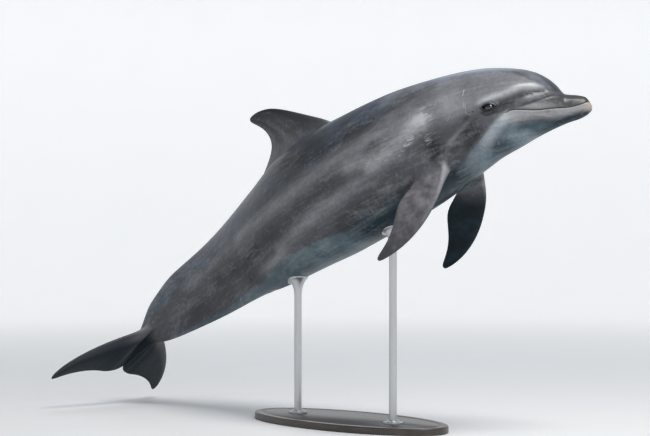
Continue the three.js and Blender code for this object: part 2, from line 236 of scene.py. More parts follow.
class Wire:
    """A node's output. Arithmetic on it adds Math nodes to the same tree."""

    def __init__(self, tree, socket):
        self.tree, self.socket = tree, socket

    def node(self, kind, settings=None, values=None, output=0):
        return Wire(self.tree, add_node(self.tree, kind, settings, values).outputs[output])

    def math(self, operation, *others, clamp=False):
        settings = {"operation": operation, "use_clamp": clamp}
        return self.node("ShaderNodeMath", settings, dict(enumerate((self, *others))))

    def __add__(self, other):
        return self.math("ADD", other)

    __radd__ = __add__

    def __sub__(self, other):
        return self.math("SUBTRACT", other)

    def __rsub__(self, other):
        return self.node("ShaderNodeMath", {"operation": "SUBTRACT"}, {0: other, 1: self})

    def __mul__(self, other):
        return self.math("MULTIPLY", other)

    __rmul__ = __mul__

    def step(self, low, high):
        """Rises smoothly from 0 to 1 as the value goes from low to high."""
        settings = {"interpolation_type": "SMOOTHSTEP"}
        return self.node("ShaderNodeMapRange", settings, {"Value": self, "From Min": low, "From Max": high})

    def clamp(self):
        return self.math("ADD", 0.0, clamp=True)

    def vector(self, operation, *others, output=0):
        settings = {"operation": operation}
        return self.node("ShaderNodeVectorMath", settings, dict(enumerate((self, *others))), output)

    def noise(self, scale, detail=3.0, roughness=0.5):
        """Cloudy noise between 0 and 1, read at this place."""
        values = {"Vector": self, "Scale": scale, "Detail": detail, "Roughness": roughness}
        return self.node("ShaderNodeTexNoise", None, values)

    def part(self, axis):
        return self.node("ShaderNodeSeparateXYZ", None, {"Vector": self}, output=axis)

    def over(self, base, colour):
        """The colour laid over base as thickly as this value says."""
        settings = {"data_type": "RGBA", "clamp_factor": True}
        return self.node("ShaderNodeMix", settings, {0: self, 6: base, 7: colour}, output=2)


def add_node(tree, kind, settings=None, values=None):
    node = tree.nodes.new(kind)
    for name, value in (settings or {}).items():
        setattr(node, name, value)
    for name, value in (values or {}).items():
        plug(tree, node.inputs[name], value)
    return node


def plug(tree, socket, value):
    """Links a wire to the socket or sets it to the value. A colour gets its alpha."""
    if isinstance(value, Wire):
        tree.links.new(value.socket, socket)
    elif socket.type == "RGBA":
        socket.default_value = (*value, 1)
    else:
        socket.default_value = value


def new_material(name, preview):
    """An empty tree with its shader, and the colour that the viewport shows."""
    material = bpy.data.materials.new(name)
    material.use_nodes = True
    material.diffuse_color = (*preview, 1)
    tree = material.node_tree
    return material, tree, tree.nodes["Principled BSDF"]


def connect(tree, shader, **values):
    """Links or sets the shader's sockets; an underscore in a name stands for a space."""
    for name, value in values.items():
        plug(tree, shader.inputs[name.replace("_", " ")], value)


def object_place(tree):
    return Wire(tree, add_node(tree, "ShaderNodeTexCoord").outputs["Object"])


def attribute(tree, name, output="Fac"):
    return Wire(tree, add_node(tree, "ShaderNodeAttribute", {"attribute_name": name}).outputs[output])


def paint(red, green, blue):
    """A colour given as it looks on a screen, from 0 to 255, for a shader."""
    return tuple(float(((v / 255 + 0.055) / 1.055) ** 2.4) for v in (red, green, blue))


# %% [markdown]
# ## Floor and wall
# In a studio a sheet hangs down the wall and curves out over the floor, so that no edge shows behind
# the model. A bent sheet would serve one camera only. Here its outline is drawn once and spun round
# the model, which makes a round room with the same sweep on every side.

# %% Making an object of a bmesh, and a turned shape of a half outline
LATHE_STEPS, MERGE_GAP = 96, 1e-6


def new_piece(bm, name):
    """The bmesh as a smooth-shaded object at the origin."""
    mesh = bpy.data.meshes.new(name)
    bm.to_mesh(mesh)
    bm.free()
    mesh.polygons.foreach_set("use_smooth", [True] * len(mesh.polygons))
    return new_object(name, mesh)


def turned(outline, x=0.0, y=0.0):
    """Spins a half outline, given as (radius, height) in millimetres, about an upright axis."""
    bm = bmesh.new()
    corners = [bm.verts.new((radius * MM, 0, up * MM)) for radius, up in outline]
    edges = [bm.edges.new(pair) for pair in zip(corners, corners[1:])]
    bmesh.ops.spin(bm, geom=corners + edges, cent=(0, 0, 0), axis=(0, 0, 1), angle=2 * math.pi,
                   steps=LATHE_STEPS, use_merge=True)
    bmesh.ops.remove_doubles(bm, verts=bm.verts, dist=MERGE_GAP)
    bmesh.ops.recalc_face_normals(bm, faces=bm.faces)
    bmesh.ops.translate(bm, verts=bm.verts, vec=(x, y, 0))
    return bm


# %% Floor and wall in one sweep
FLOOR_RADIUS, SWEEP_RADIUS, WALL_TOP = 8000, 2500, 4500
FLOOR_RINGS, SWEEP_RINGS = (0, 1000, 3000, 6000), 10
GLOW_FROM, GLOW_FULL, WALL_GLOW = 1.5, 9.0, 0.36
FLOOR_COOL, FLOOR_WARM, WALL_WHITE = (0.80, 0.81, 0.82), (0.84, 0.84, 0.84), (0.97, 0.985, 1.0)


def floor_material():
    """Pale paint that glows a little on the wall, and is clear from behind.

    A camera outside the room can look in through the wall."""
    material, tree, shader = new_material("pale_floor", FLOOR_WARM)
    place = object_place(tree)
    colour = place.noise(3.0).over(FLOOR_COOL, FLOOR_WARM)
    out = place.vector("MULTIPLY", (1.0, 1.0, 0.0)).vector("LENGTH", output=1)
    glow = out.step(GLOW_FROM, GLOW_FULL).over((0.0, 0.0, 0.0), WALL_WHITE)
    connect(tree, shader, Base_Color=colour, Roughness=0.85, Emission_Color=glow, Emission_Strength=WALL_GLOW)
    behind = Wire(tree, add_node(tree, "ShaderNodeNewGeometry").outputs["Backfacing"])
    front = Wire(tree, shader.outputs["BSDF"])
    clear = behind.node("ShaderNodeBsdfTransparent")
    seen = behind.node("ShaderNodeMixShader", None, {0: behind, 1: front, 2: clear})
    tree.links.new(seen.socket, tree.nodes["Material Output"].inputs["Surface"])
    return material


sweep = [(radius, 0) for radius in FLOOR_RINGS]
sweep += [(FLOOR_RADIUS + SWEEP_RADIUS * math.sin(angle), SWEEP_RADIUS * (1 - math.cos(angle)))
          for angle in np.radians(np.linspace(0, 90, SWEEP_RINGS))]
room = turned(sweep + [(FLOOR_RADIUS + SWEEP_RADIUS, WALL_TOP)])
if sum(face.normal.z for face in room.faces) < 0:
    bmesh.ops.reverse_faces(room, faces=room.faces)
backdrop = new_piece(room, "backdrop")
backdrop.data.materials.append(floor_material())
print("floor and wall:", len(backdrop.data.polygons), "faces")

# %% [markdown]
# ## The cage of the hide
# One skin covers a dolphin from the lips to the tail. A body like this could be sculpted, or lofted
# from curves. A flat grid rolled into a tube is used here, because its rows become stations of the
# spine and its columns run from snout to tail: one column can then lie exactly along the mouth, and
# blocks of it can be opened where the fins grow.

# %% Rows along the spine and columns around it
ROW_RUNS = [  # from, to, rows between them; closest at the snout and where a fin grows
    (0, 24, 10), (24, 100, 18), (100, 420, 42), (420, 530, 10), (530, 670, 14), (670, 1060, 16),
    (1060, 1564, 34), (1564, 2340, 28), (2340, 2632, 19),
]
SIDE_COLUMNS = 44
AROUND = 2 * SIDE_COLUMNS
LIP_GAP = 1.3
FINE_STEP = 2.6  # degrees between the columns near the mouth and eye
LOWER_FINE, UPPER_FINE, MOUTH_COLUMN = 9, 13, 20
MOUTH_DEPTH = 5.5
# stations between which the lips part, meet again and spread, their line levels out, columns even out
LIPS_PART, LIPS_MEET = (4, 18), (MOUTH_CORNER + 4, MOUTH_CORNER - 30)
LIPS_SPREAD, LEVEL_OUT, EVEN_OUT = (MOUTH_CORNER - 10, MOUTH_CORNER + 60), (291, 420), (420, 900)
LEVEL_SHARE, LIPS_HIGHEST = 0.4, 0.9

rows = np.concatenate([np.linspace(start, end, count, endpoint=False) for start, end, count in ROW_RUNS]
                      + [[PROFILE[-1][0]]])
LAST_ROW = len(rows) - 1


def section(at):
    """Middle, half height, half width and squareness of the section at a station."""
    back, belly = back_height(at), belly_height(at)
    return (back + belly) / 2, (back - belly) / 2, half_width(at), 2 / roundness_at(at)


def mouth_elevation(at):
    """The angle round the section at which the mouth lies, kept on behind its corner."""
    middle, tall, _, power = section(at)
    share = np.clip((mouth_height(at) - middle) / tall, -LIPS_HIGHEST, LIPS_HIGHEST)
    at_lips = np.degrees(np.arcsin(np.sign(share) * np.abs(share) ** (1 / power)))
    levelled = at_lips * (1 - LEVEL_SHARE * smooth_step(*LEVEL_OUT, at))
    return np.where(at <= MOUTH_CORNER, at_lips, levelled)


def column_elevations(at):
    """The angles of one side's columns at one station, in degrees from belly to back."""
    lips = float(mouth_elevation(at))
    tight = math.degrees(LIP_GAP / section(at)[1])
    tight += (FINE_STEP / 2 - tight) * float(smooth_step(*LIPS_SPREAD, at))
    below = [lips - FINE_STEP * k for k in range(1, LOWER_FINE)]
    above = [lips + FINE_STEP * k for k in range(1, UPPER_FINE)]
    low_rest = np.linspace(-90, below[-1], MOUTH_COLUMN - LOWER_FINE + 1)[:-1]
    high_rest = np.linspace(above[-1], 90, SIDE_COLUMNS - MOUTH_COLUMN - UPPER_FINE + 1)[1:]
    fine = np.concatenate([low_rest, below[::-1], [lips - tight, lips, lips + tight], above, high_rest])
    even = np.linspace(-90, 90, SIDE_COLUMNS + 1)
    spread = float(smooth_step(*EVEN_OUT, at))
    return fine * (1 - spread) + even * spread


elevations = np.array([column_elevations(at) for at in rows])
print("rows", len(rows), "columns", AROUND)

# %% A flat sheet whose corners are addresses, rolled round the spine


def surface_place(at, elevation, side, inward=0):
    middle, tall, wide, power = section(at)
    angle = np.radians(elevation)
    left = side * (wide * np.abs(np.cos(angle)) ** power - inward)
    return body_place(at, left, middle + tall * np.sign(angle) * np.abs(np.sin(angle)) ** power)


def address_sheet():
    hide = bmesh.new()
    bmesh.ops.create_grid(hide, x_segments=AROUND, y_segments=LAST_ROW, size=0.5)
    bmesh.ops.translate(hide, verts=hide.verts, vec=(0.5, 0.5, 0))
    bmesh.ops.scale(hide, verts=hide.verts, vec=(AROUND, LAST_ROW, 1))
    return hide


hide = address_sheet()
row_mark = hide.verts.layers.float.new("row")
column_mark = hide.verts.layers.float.new("column")
along = hide.verts.layers.float.new("along")
for vert in hide.verts:
    row, column = round(vert.co.y), round(vert.co.x)
    right = column <= SIDE_COLUMNS
    at = rows[row]
    elevation = elevations[row][column if right else AROUND - column]
    on_mouth = column in (MOUTH_COLUMN, AROUND - MOUTH_COLUMN)
    open_here = smooth_step(*LIPS_PART, at) * smooth_step(*LIPS_MEET, at)
    vert[row_mark], vert[column_mark], vert[along] = row, column, at
    vert.co = surface_place(at, elevation, -1 if right else 1, on_mouth * open_here * MOUTH_DEPTH)
seam = [vert for vert in hide.verts if vert[column_mark] in (0, AROUND)]
bmesh.ops.remove_doubles(hide, verts=seam, dist=0.01)
for end in (0, LAST_ROW):
    ring = [vert for vert in hide.verts if vert[row_mark] == end]
    bmesh.ops.pointmerge(hide, verts=ring, merge_co=sum((v.co for v in ring), Vector()) / len(ring))
print("body cage:", len(hide.faces), "faces")

# %% [markdown]
# ## Fins
# The fins are not stuck on: skin runs over them from the body with a soft fillet. So a block of the
# cage is opened at each root, and the rim of the hole is drawn outwards again and again, each time
# laid on a thinner and shorter wing section. The outlines are those of the solids, apart from the
# front of the flipper, which starts a little further forward here.

# %% Outlines, root and tip thicknesses, and the pose of the flippers
DORSAL_FIN = {
    "leading": [(-30, 1020), (16, 1083), (60, 1152), (110, 1226), (158, 1289), (215, 1367), (250, 1420),
                (281, 1484), (287, 1526)],
    "trailing": [(-30, 1612), (22, 1580), (46, 1500), (82, 1450), (119, 1443), (168, 1455), (224, 1491),
                 (268, 1527), (287, 1526)],
    "thickness": (64, 9), "first_span": 14, "steps": 22, "flare": 0.35,
}
FLIPPER = {
    "leading": [(-40, -116), (10, -109), (70, -96), (130, -84), (190, -67), (250, -43), (312, -4),
                (364, 44), (397, 92), (402, 110)],
    "trailing": [(-40, 6), (20, 6), (70, 18), (112, 52), (160, 80), (215, 78), (290, 82), (350, 103),
                 (388, 119), (402, 110)],
    "thickness": (62, 8), "first_span": 58, "steps": 24, "flare": 0.45,
}
SHOULDER_AT, SHOULDER_OUT, SHOULDER_DROP = 624, 0.72, 0.58
FLIPPER_POSE = {-1: (66, 10.5, 18.5), 1: (55.5, 26.5, -7.5)}  # side: down, sweep, twist
FLUKE = {
    "leading": [(0, 2330), (49, 2384), (123, 2437), (200, 2495), (278, 2570), (333, 2650), (356, 2715),
                (350, 2742)],
    "trailing": [(0, 2630), (20, 2657), (75, 2657), (138, 2656), (216, 2672), (290, 2706), (330, 2736),
                 (350, 2742)],
    "thickness": (46, 7), "first_span": 36, "steps": 22, "flare": 0.3,
}
FLUKE_LIFT = 15
FIN_EDGE, FIN_DEEPEST = 1.6, 0.26
FLARE_REACH = 26.0
SETTLED_BY, TIP_TURN = 0.4, 0.994  # where the wing section holds, and how near the last ring comes to the tip
OUTLINE_STEPS = 400


def spline(points):
    """A curve through the points, run from 0 to 1, each stretch aimed by its neighbours."""
    points = np.array(points, float)
    last = len(points) - 1

    def curve(along):
        k = min(int(along * last), last - 1)
        t = along * last - k
        before, start, end, after = (points[min(max(k + step, 0), last)] for step in (-1, 0, 1, 2))
        leave, arrive = (end - before) / 2, (after - start) / 2
        return ((2 * start - 2 * end + leave + arrive) * t ** 3
                + (3 * end - 3 * start - 2 * leave - arrive) * t ** 2 + leave * t + start)

    return curve


def wing_section(share):
    """Half the thickness of a fin's section, as a share of the whole, at a share of its chord."""
    bulge = 1.4845 * math.sqrt(share) - 0.63 * share - 1.758 * share ** 2
    return bulge + 1.4215 * share ** 3 - 0.518 * share ** 4


# %% Where each fin's points lie on the animal


def dorsal_place(span, aft, offset):
    return body_place(aft, offset, back_height(aft) + span)


def fluke_place(side):
    reach = FLUKE["leading"][-1][0]
    return lambda span, aft, offset: body_place(
        aft, side * span, offset + FLUKE_LIFT * max(span / reach, 0) ** 1.5)


def flipper_place(side):
    """Outwards along the flipper, aft across it, and square to both, from the shoulder."""
    down, sweep, twist = (math.radians(angle) for angle in FLIPPER_POSE[side])
    forward, left, up = (Vector(axis) for axis in spine_axes(np.array(float(SHOULDER_AT))))
    out = (-math.sin(sweep) * forward + side * math.cos(sweep) * math.cos(down) * left
           - math.cos(sweep) * math.sin(down) * up)
    level = (forward - out * forward.dot(out)).normalized()
    ahead = level * math.cos(side * twist) + out.cross(level) * math.sin(side * twist)
    face = out.cross(ahead)
    middle, tall, wide, _ = section(SHOULDER_AT)
    shoulder = Vector(body_place(SHOULDER_AT, side * SHOULDER_OUT * wide, middle - SHOULDER_DROP * tall))
    return lambda span, aft, offset: np.array(shoulder + out * span - ahead * aft + face * offset)


# %% Opening a block of the cage, and giving each rim vertex its turn round the wing section
span_mark = {name: hide.verts.layers.float.new(name) for name in ("fin_span", "flipper_span", "fluke_span")}
chord_mark = hide.verts.layers.float.new("chord")
under_mark = hide.verts.layers.float.new("under")


def open_block(first_row, last_row, middle_column, half_columns):
    """Deletes a block's faces. A rim vertex's turn is 0 at the front end and 1 at the rear end."""
    def in_block(vert):
        across = abs(vert[column_mark] - middle_column)
        return first_row <= vert[row_mark] <= last_row and across <= half_columns

    inside = [face for face in hide.faces if all(in_block(vert) for vert in face.verts)]
    bmesh.ops.delete(hide, geom=inside, context="FACES")
    rim = [edge for edge in hide.edges if edge.is_boundary]
    long_side = last_row - first_row
    whole = long_side + 2 * half_columns
    turns = {}
    for vert in {vert for edge in rim for vert in edge.verts}:
        across = vert[column_mark] - middle_column
        steps = half_columns + vert[row_mark] - first_row
        if vert[row_mark] == first_row:
            steps = abs(across)
        elif vert[row_mark] == last_row:
            steps = whole - abs(across)
        turns[vert] = (steps / whole, np.sign(across), vert[along])
    return rim, turns


# %% Growing a fin from the rim


def grow(rim, turns, shape, place, layer, face_sign, side):
    """Draws the rim out to the fin's tip. Each rim vertex keeps its turn round the section."""
    leading, trailing = spline(shape["leading"]), spline(shape["trailing"])
    thick_root, thick_tip = shape["thickness"]
    reach, first_span, steps = shape["leading"][-1][0], shape["first_span"], shape["steps"]
    shares = np.linspace(0, 1, OUTLINE_STEPS)
    start = float(np.interp(first_span, [leading(share)[0] for share in shares], shares))
    front_at = min(at for _, _, at in turns.values())
    rear_at = max(at for _, _, at in turns.values())
    for step in range(steps):
        run = start + (1 - start) * math.sin(step / (steps - 1) * math.pi / 2 * TIP_TURN)
        front, rear = leading(run), trailing(run)
        grown = (front[0] - first_span) / reach
        settled = float(smooth_step(0, SETTLED_BY, grown))
        thickness = min(thick_root + (thick_tip - thick_root) * run,
                        FIN_DEEPEST * float(np.linalg.norm(front - rear)))
        thickness *= 1 + shape["flare"] * math.exp(-grown * reach / FLARE_REACH)
        drawn = bmesh.ops.extrude_edge_only(hide, edges=rim)["geom"]
        fresh = {item for item in drawn if isinstance(item, bmesh.types.BMVert)}
        rim = [item for item in drawn if isinstance(item, bmesh.types.BMEdge)
               and fresh.issuperset(item.verts)]
        following = {}
        for vert in fresh:
            rooted = next(edge.other_vert(vert) for edge in vert.link_edges
                          if edge.other_vert(vert) in turns)
            turn, sign, at_root = turns[rooted]
            wing_share = (1 - math.cos(turn * math.pi)) / 2
            root_share = (at_root - front_at) / (rear_at - front_at)
            share = root_share * (1 - settled) + wing_share * settled
            span, aft = front + (rear - front) * share
            half = wing_section(share) * thickness + FIN_EDGE / 2
            vert.co = place(span, aft, sign * face_sign * half)
            vert[layer], vert[chord_mark], vert[under_mark] = max(span / reach, 0.001), share, sign * side
            following[vert] = (turn, sign, at_root)
        turns = following
    middle = sum((vert.co for vert in turns), Vector()) / len(turns)
    bmesh.ops.pointmerge(hide, verts=list(turns), merge_co=middle)


def row_at(at):
    return int(np.abs(rows - at).argmin())


# %% Opening the cage at each root and growing the five fins
FIN_FROM_TO, FIN_HALF = (1088, 1545), 2
FLIPPER_FROM_TO, FLIPPER_COLUMN, FLIPPER_HALF = (524, 664), 9, 2
FLUKE_FROM_TO, FLUKE_COLUMN, FLUKE_HALF = (2354, 2617), SIDE_COLUMNS // 2, 5


def open_root(from_to, column, half_columns, side):
    if side > 0:
        column = AROUND - column
    first, last = (row_at(at) for at in from_to)
    return open_block(first, last, column, half_columns)


rim, turns = open_root(FIN_FROM_TO, SIDE_COLUMNS, FIN_HALF, 0)
grow(rim, turns, DORSAL_FIN, dorsal_place, span_mark["fin_span"], 1, 0)
for side in (-1, 1):
    rim, turns = open_root(FLIPPER_FROM_TO, FLIPPER_COLUMN, FLIPPER_HALF, side)
    grow(rim, turns, FLIPPER, flipper_place(side), span_mark["flipper_span"], 1, side)
    rim, turns = open_root(FLUKE_FROM_TO, FLUKE_COLUMN, FLUKE_HALF, side)
    grow(rim, turns, FLUKE, fluke_place(side), span_mark["fluke_span"], -side, side)
print("cage with fins:", len(hide.faces), "faces, open edges:", sum(e.is_boundary for e in hide.edges))

# %% Softening the fins' roots and the crest between the flukes
ROOT_SPAN, ROOT_ROUNDS = 0.16, 6
CREST_FROM, CREST_SPAN, CREST_ROUNDS = 2430, 0.2, 14


def span_of(vert):
    return max(vert[layer] for layer in span_mark.values())


def near_root(vert):
    beside = [edge.other_vert(vert) for edge in vert.link_edges]
    return 0 < span_of(vert) < ROOT_SPAN or any(span_of(other) > 0 for other in beside)


def soften(verts, rounds):
    for _ in range(rounds):
        bmesh.ops.smooth_vert(hide, verts=verts, factor=0.5, use_axis_x=True, use_axis_y=True,
                              use_axis_z=True)


def on_crest(vert):
    return vert[along] > CREST_FROM and vert[span_mark["fluke_span"]] < CREST_SPAN


soften([vert for vert in hide.verts if near_root(vert)], ROOT_ROUNDS)
soften([vert for vert in hide.verts if on_crest(vert)], CREST_ROUNDS)
print("corners softened on the crest:", sum(map(on_crest, hide.verts)))

# %% Into the room, with one level of subdivision
bmesh.ops.recalc_face_normals(hide, faces=hide.faces)
for vert in hide.verts:
    vert.co = to_room(np.array(vert.co))
skin = new_piece(hide, "skin")
subdivision = skin.modifiers.new("smooth", "SUBSURF")
subdivision.levels = subdivision.render_levels = 1
graph = bpy.context.evaluated_depsgraph_get()
finished = bpy.data.meshes.new_from_object(skin.evaluated_get(graph))
skin.modifiers.clear()
skin.data = finished
print("skin:", len(skin.data.polygons), "faces")

# %% [markdown]
# ## Folds of the face and body
# The cage carries the large form. Folds, lids and grooves come next: the mesh is cut finer where they
# are small, and then each vertex is moved in or out by soft strokes. A stroke is a line on the skin,
# given by distance along the spine and height above it, with a width. Sculpting would do the same by
# hand, but strokes with names stay where the anatomy says, and both sides of the face match.

# %% Finer mesh round the eyes, ears and blowhole
EYE_AT, EYE_HEIGHT, EYE_DEPTH = 351, 8, 12
EAR_AT, EAR_HEIGHT = 402, 2
BLOWHOLE_AT, BLOWHOLE_HALF = 342, 23
EYE_FINE, EAR_FINE, BLOWHOLE_FINE = (36, 3), (9, 3), (36, 2)  # radius, cuts


def side_place(at, height, side, inward=0):
    """The place on one flank at a height above the spine."""
    middle, tall, wide, power = section(at)
    level = abs(height - middle) / tall
    left = wide * (1 - level ** (2 / power)) ** (power / 2) if level < 1 else 0
    return to_room(body_place(at, side * (left - inward), height))


def refine(centre, radius, cuts):
    """Cuts every edge near a place into shorter ones."""
    near = {vert for vert in fine.verts if (vert.co - Vector(centre)).length < radius * MM}
    edges = [edge for edge in fine.edges if near.issuperset(edge.verts)]
    bmesh.ops.subdivide_edges(fine, edges=edges, cuts=cuts, use_grid_fill=True)


fine = bmesh.new()
fine.from_mesh(skin.data)
for side in (-1, 1):
    refine(side_place(EYE_AT, EYE_HEIGHT, side), *EYE_FINE)
    refine(side_place(EAR_AT, EAR_HEIGHT, side), *EAR_FINE)
refine(to_room(body_place(BLOWHOLE_AT - 2, 0, back_height(BLOWHOLE_AT))), *BLOWHOLE_FINE)
fine.to_mesh(skin.data)
fine.free()
skin.data.update()
print("finer skin:", len(skin.data.polygons), "faces")

# %% Every vertex's address on the body


def read(items, name, width=1):
    """One number or vector from each of a mesh's items."""
    values = np.zeros(len(items) * width, np.float32)
    items.foreach_get(name, values)
    return values.astype(float).reshape(-1, width) if width > 1 else values.astype(float)


mesh = skin.data
places = read(mesh.vertices, "co", 3)
normals = read(mesh.vertex_normals, "vector", 3)
at = read(mesh.attributes["along"].data, "value")
limb = np.max([read(mesh.attributes[name].data, "value") for name in span_mark], axis=0)
own = (places / MM - MID_BODY_PLACE) @ ATTITUDE - spine_point(at)
_, leftward, upward = spine_axes(at)
left, height = (own * leftward).sum(1), (own * upward).sum(1)
middle, tall, wide, _ = section(at)
rise = np.clip((height - middle) / tall, -1, 1)
on_body = smooth_step(0.06, 0.0, limb)
print("vertices:", len(places))

# %% Brushes: a soft stroke along a line, a soft blob, an edge along a line, and a stretch of the body
FAR_AWAY = 1e6


def stroke(points, width):
    """1 on a line over the flank, falling to 0 a width or two away from it."""
    nearest = np.full(len(at), FAR_AWAY)
    for (a0, h0), (a1, h1) in zip(points, points[1:]):
        da, dh = a1 - a0, h1 - h0
        t = np.clip(((at - a0) * da + (height - h0) * dh) / (da * da + dh * dh), 0, 1)
        nearest = np.minimum(nearest, np.hypot(at - a0 - t * da, height - h0 - t * dh))
    return hump(nearest, width) * on_body


def blob(centre_at, centre_height, half_length, half_height):
    away = ((at - centre_at) / half_length) ** 2 + ((height - centre_height) / half_height) ** 2
    return np.exp(-away) * on_body


def above(points, softness):
    """0 under a line over the flank and 1 above it, with a soft edge."""
    line = smooth_curve(points)(at)
    return smooth_step(-softness, softness, height - line)


def between(low, high, softness):
    """1 between two stations, with a soft rise and fall."""
    rising = smooth_step(low - softness, low + softness, at)
    return rising * smooth_step(high + softness, high - softness, at)


# %% Lines of the face and flank, as distance along the spine and height above it
MELON_CREASE = [(102, 39), (120, 34), (144, 28), (172, 17), (202, 7), (230, -1), (258, -9), (282, -14)]
BROW_RIDGE = [(372, 30), (332, 42), (304, 47), (276, 58), (240, 70), (196, 72)]
STRIPE_HIGH = [(308, 17), (278, 28), (242, 41), (196, 47), (160, 43)]
STRIPE_MIDDLE = [(322, 1), (294, 8), (270, 16), (244, 28), (208, 37)]
STRIPE_LOW = [(324, -16), (296, -5), (272, 3)]
LOWER_LID_FOLD = [(370, -11), (358, -19), (336, -14)]
CHEEK_LINE = [(292, -14), (300, -23), (314, -33), (330, -44), (350, -58), (368, -72), (384, -85), (402, -99),
              (426, -114), (450, -129), (472, -143), (496, -157), (540, -176)]
PALE_BEHIND_EYE = [(418, -25), (436, -41), (456, -53), (480, -68), (502, -82)]
DARK_BEHIND_EYE = [(400, -30), (418, -49), (440, -69), (468, -90), (500, -112)]
LIP_EDGE = [(0, -20), (24, -26), (50, -32), (86, -39), (116, -46), (144, -48), (176, -49), (204, -51),
            (232, -54), (256, -57), (274, -63), (296, -56)]
CHIN_SHADE = [(36, -40), (64, -48), (120, -58), (172, -62), (218, -73), (260, -73)]
FOREHEAD_LINES = [[(264, 144), (236, 124), (206, 103), (178, 87), (152, 69), (134, 50)],
                  [(214, 158), (174, 119), (146, 91), (124, 60)]]
SHOULDER_PATCH = [(582, 30), (640, 4), (700, -24), (800, -30), (900, -12)]
FLIPPER_FRONT = [(566, -112), (546, -136), (530, -158), (552, -184)]
ARMPIT_FOLD = [(574, -141), (636, -159), (696, -167), (756, -184)]
FLANK_GROOVE = [(860, -44), (908, -43), (1066, -43), (1224, -59), (1368, -68), (1614, -66), (1760, -46)]
FLANK_RIDGE = [(760, -60), (816, -66), (970, -86), (1144, -98), (1254, -117), (1424, -122)]
BELLY_EDGE = [(560, -175), (750, -171), (894, -193), (1054, -198), (1182, -181), (1272, -174), (1414, -163),
              (1576, -153), (1642, -167), (1728, -160)]
LOWER_GROOVE = [(836, -148), (944, -153), (1060, -176)]

# %% Strokes that move the skin in and out
STROKES = [  # millimetres outwards, line, width
    (3.0, BROW_RIDGE, 17), (-2.0, STRIPE_HIGH, 9), (-1.3, STRIPE_MIDDLE, 7), (-0.8, STRIPE_LOW, 6),
    (-1.2, LOWER_LID_FOLD, 5), (-1.0, DARK_BEHIND_EYE, 14), (0.9, PALE_BEHIND_EYE, 7),
    (-4.5, FLIPPER_FRONT, 9), (-7.0, ARMPIT_FOLD, 9), (-3.2, FLANK_GROOVE, 24), (3.2, FLANK_RIDGE, 28),
    (-2.0, BELLY_EDGE, 12), (-2.4, LOWER_GROOVE, 14), *((-0.7, points, 6) for points in FOREHEAD_LINES),
]
CORNER_DIMPLE = (MOUTH_CORNER + 5, MOUTH_LINE[-1][1] - 2, 9, 4)


def folds_across(reach, distance, folds):
    """Parallel folds along a line: each is a height, the distance from the line, and a width."""
    return sum(reach * tall * hump(distance - offset, width) for tall, offset, width in folds)


push = sum(tall * stroke(line, width) for tall, line, width in STROKES)
over_crease = height - smooth_curve(MELON_CREASE)(at)
at_lips = height - mouth_height(at)
crease_reach = between(122, 262, 22) * on_body
push += folds_across(crease_reach, over_crease, [(-3.4, 0, 5.0), (2.2, 15, 11)])
push -= crease_reach * smooth_step(4, -8, over_crease) * smooth_step(0, 14, at_lips)

below_cheek = (smooth_curve(CHEEK_LINE)(at) - height) * math.cos(math.radians(45))
cheek_reach = between(310, 450, 24) * on_body
push += folds_across(cheek_reach, below_cheek, [(1.2, 18, 20), (-1.4, -14, 12)])
lip_reach = smooth_step(3, 14, at) * smooth_step(MOUTH_CORNER + 8, MOUTH_CORNER - 6, at) * on_body
push += folds_across(lip_reach, at_lips, [(1.3, -6, 4.0), (0.5, 5, 3.0)]) - 2.4 * blob(*CORNER_DIMPLE)
print("folds:", round(push.min(), 1), "to", round(push.max(), 1), "mm")

# %% Lids, ear and blowhole
LID_HALF, LID_TALL, LID_REACH = 20.5, 9.0, 40
LIDS = [(2.2, 1.3, 0.36), (-1.0, 2.15, 0.34), (0.6, 2.9, 0.36), (-0.5, 3.7, 0.34)]
SOCKET_DEPTH = 15.0
EAR_DEPTH, EAR_WIDTH, BLOWHOLE_BOW = 3.5, 2.2, 11
across_eye, over_eye = at - EYE_AT, height - EYE_HEIGHT
almond = (across_eye / LID_HALF) ** 2 + np.abs(over_eye) / LID_TALL
near_eye = on_body * (np.hypot(across_eye / 1.5, over_eye) < LID_REACH)
push += folds_across(near_eye, almond, LIDS)
push -= near_eye * SOCKET_DEPTH * smooth_step(1.04, 0.86, almond)
from_ear = np.hypot(at - EAR_AT, height - EAR_HEIGHT)
push -= EAR_DEPTH * hump(from_ear, EAR_WIDTH) * on_body

slit = at - (BLOWHOLE_AT - BLOWHOLE_BOW * (left / BLOWHOLE_HALF) ** 2)
slit_reach = smooth_step(BLOWHOLE_HALF + 1, BLOWHOLE_HALF - 5, np.abs(left)) * (rise > 0.5)
push += folds_across(slit_reach, slit, [(2.2, 7, 6), (-7.5, 0, 2.6)])

# %% Navel, and the slits of the belly
BELLY_SLITS = [(1555, 1665, 5.0), (1705, 1728, 4.0), (1178, 1202, 2.5)]  # from, to, depth; last the navel
on_keel = (rise < -0.5) * on_body
for start, end, depth in BELLY_SLITS:
    reach = between(start, end, 8) * on_keel * depth
    push += folds_across(reach, np.abs(left), [(-1.0, 0, 5.0), (0.35, 12, 6)])

places += normals * (push * MM)[:, None]
mesh.vertices.foreach_set("co", places.ravel())
mesh.update()
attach(skin, "root")
print("skin moved", round(push.min(), 1), "to", round(push.max(), 1), "mm")
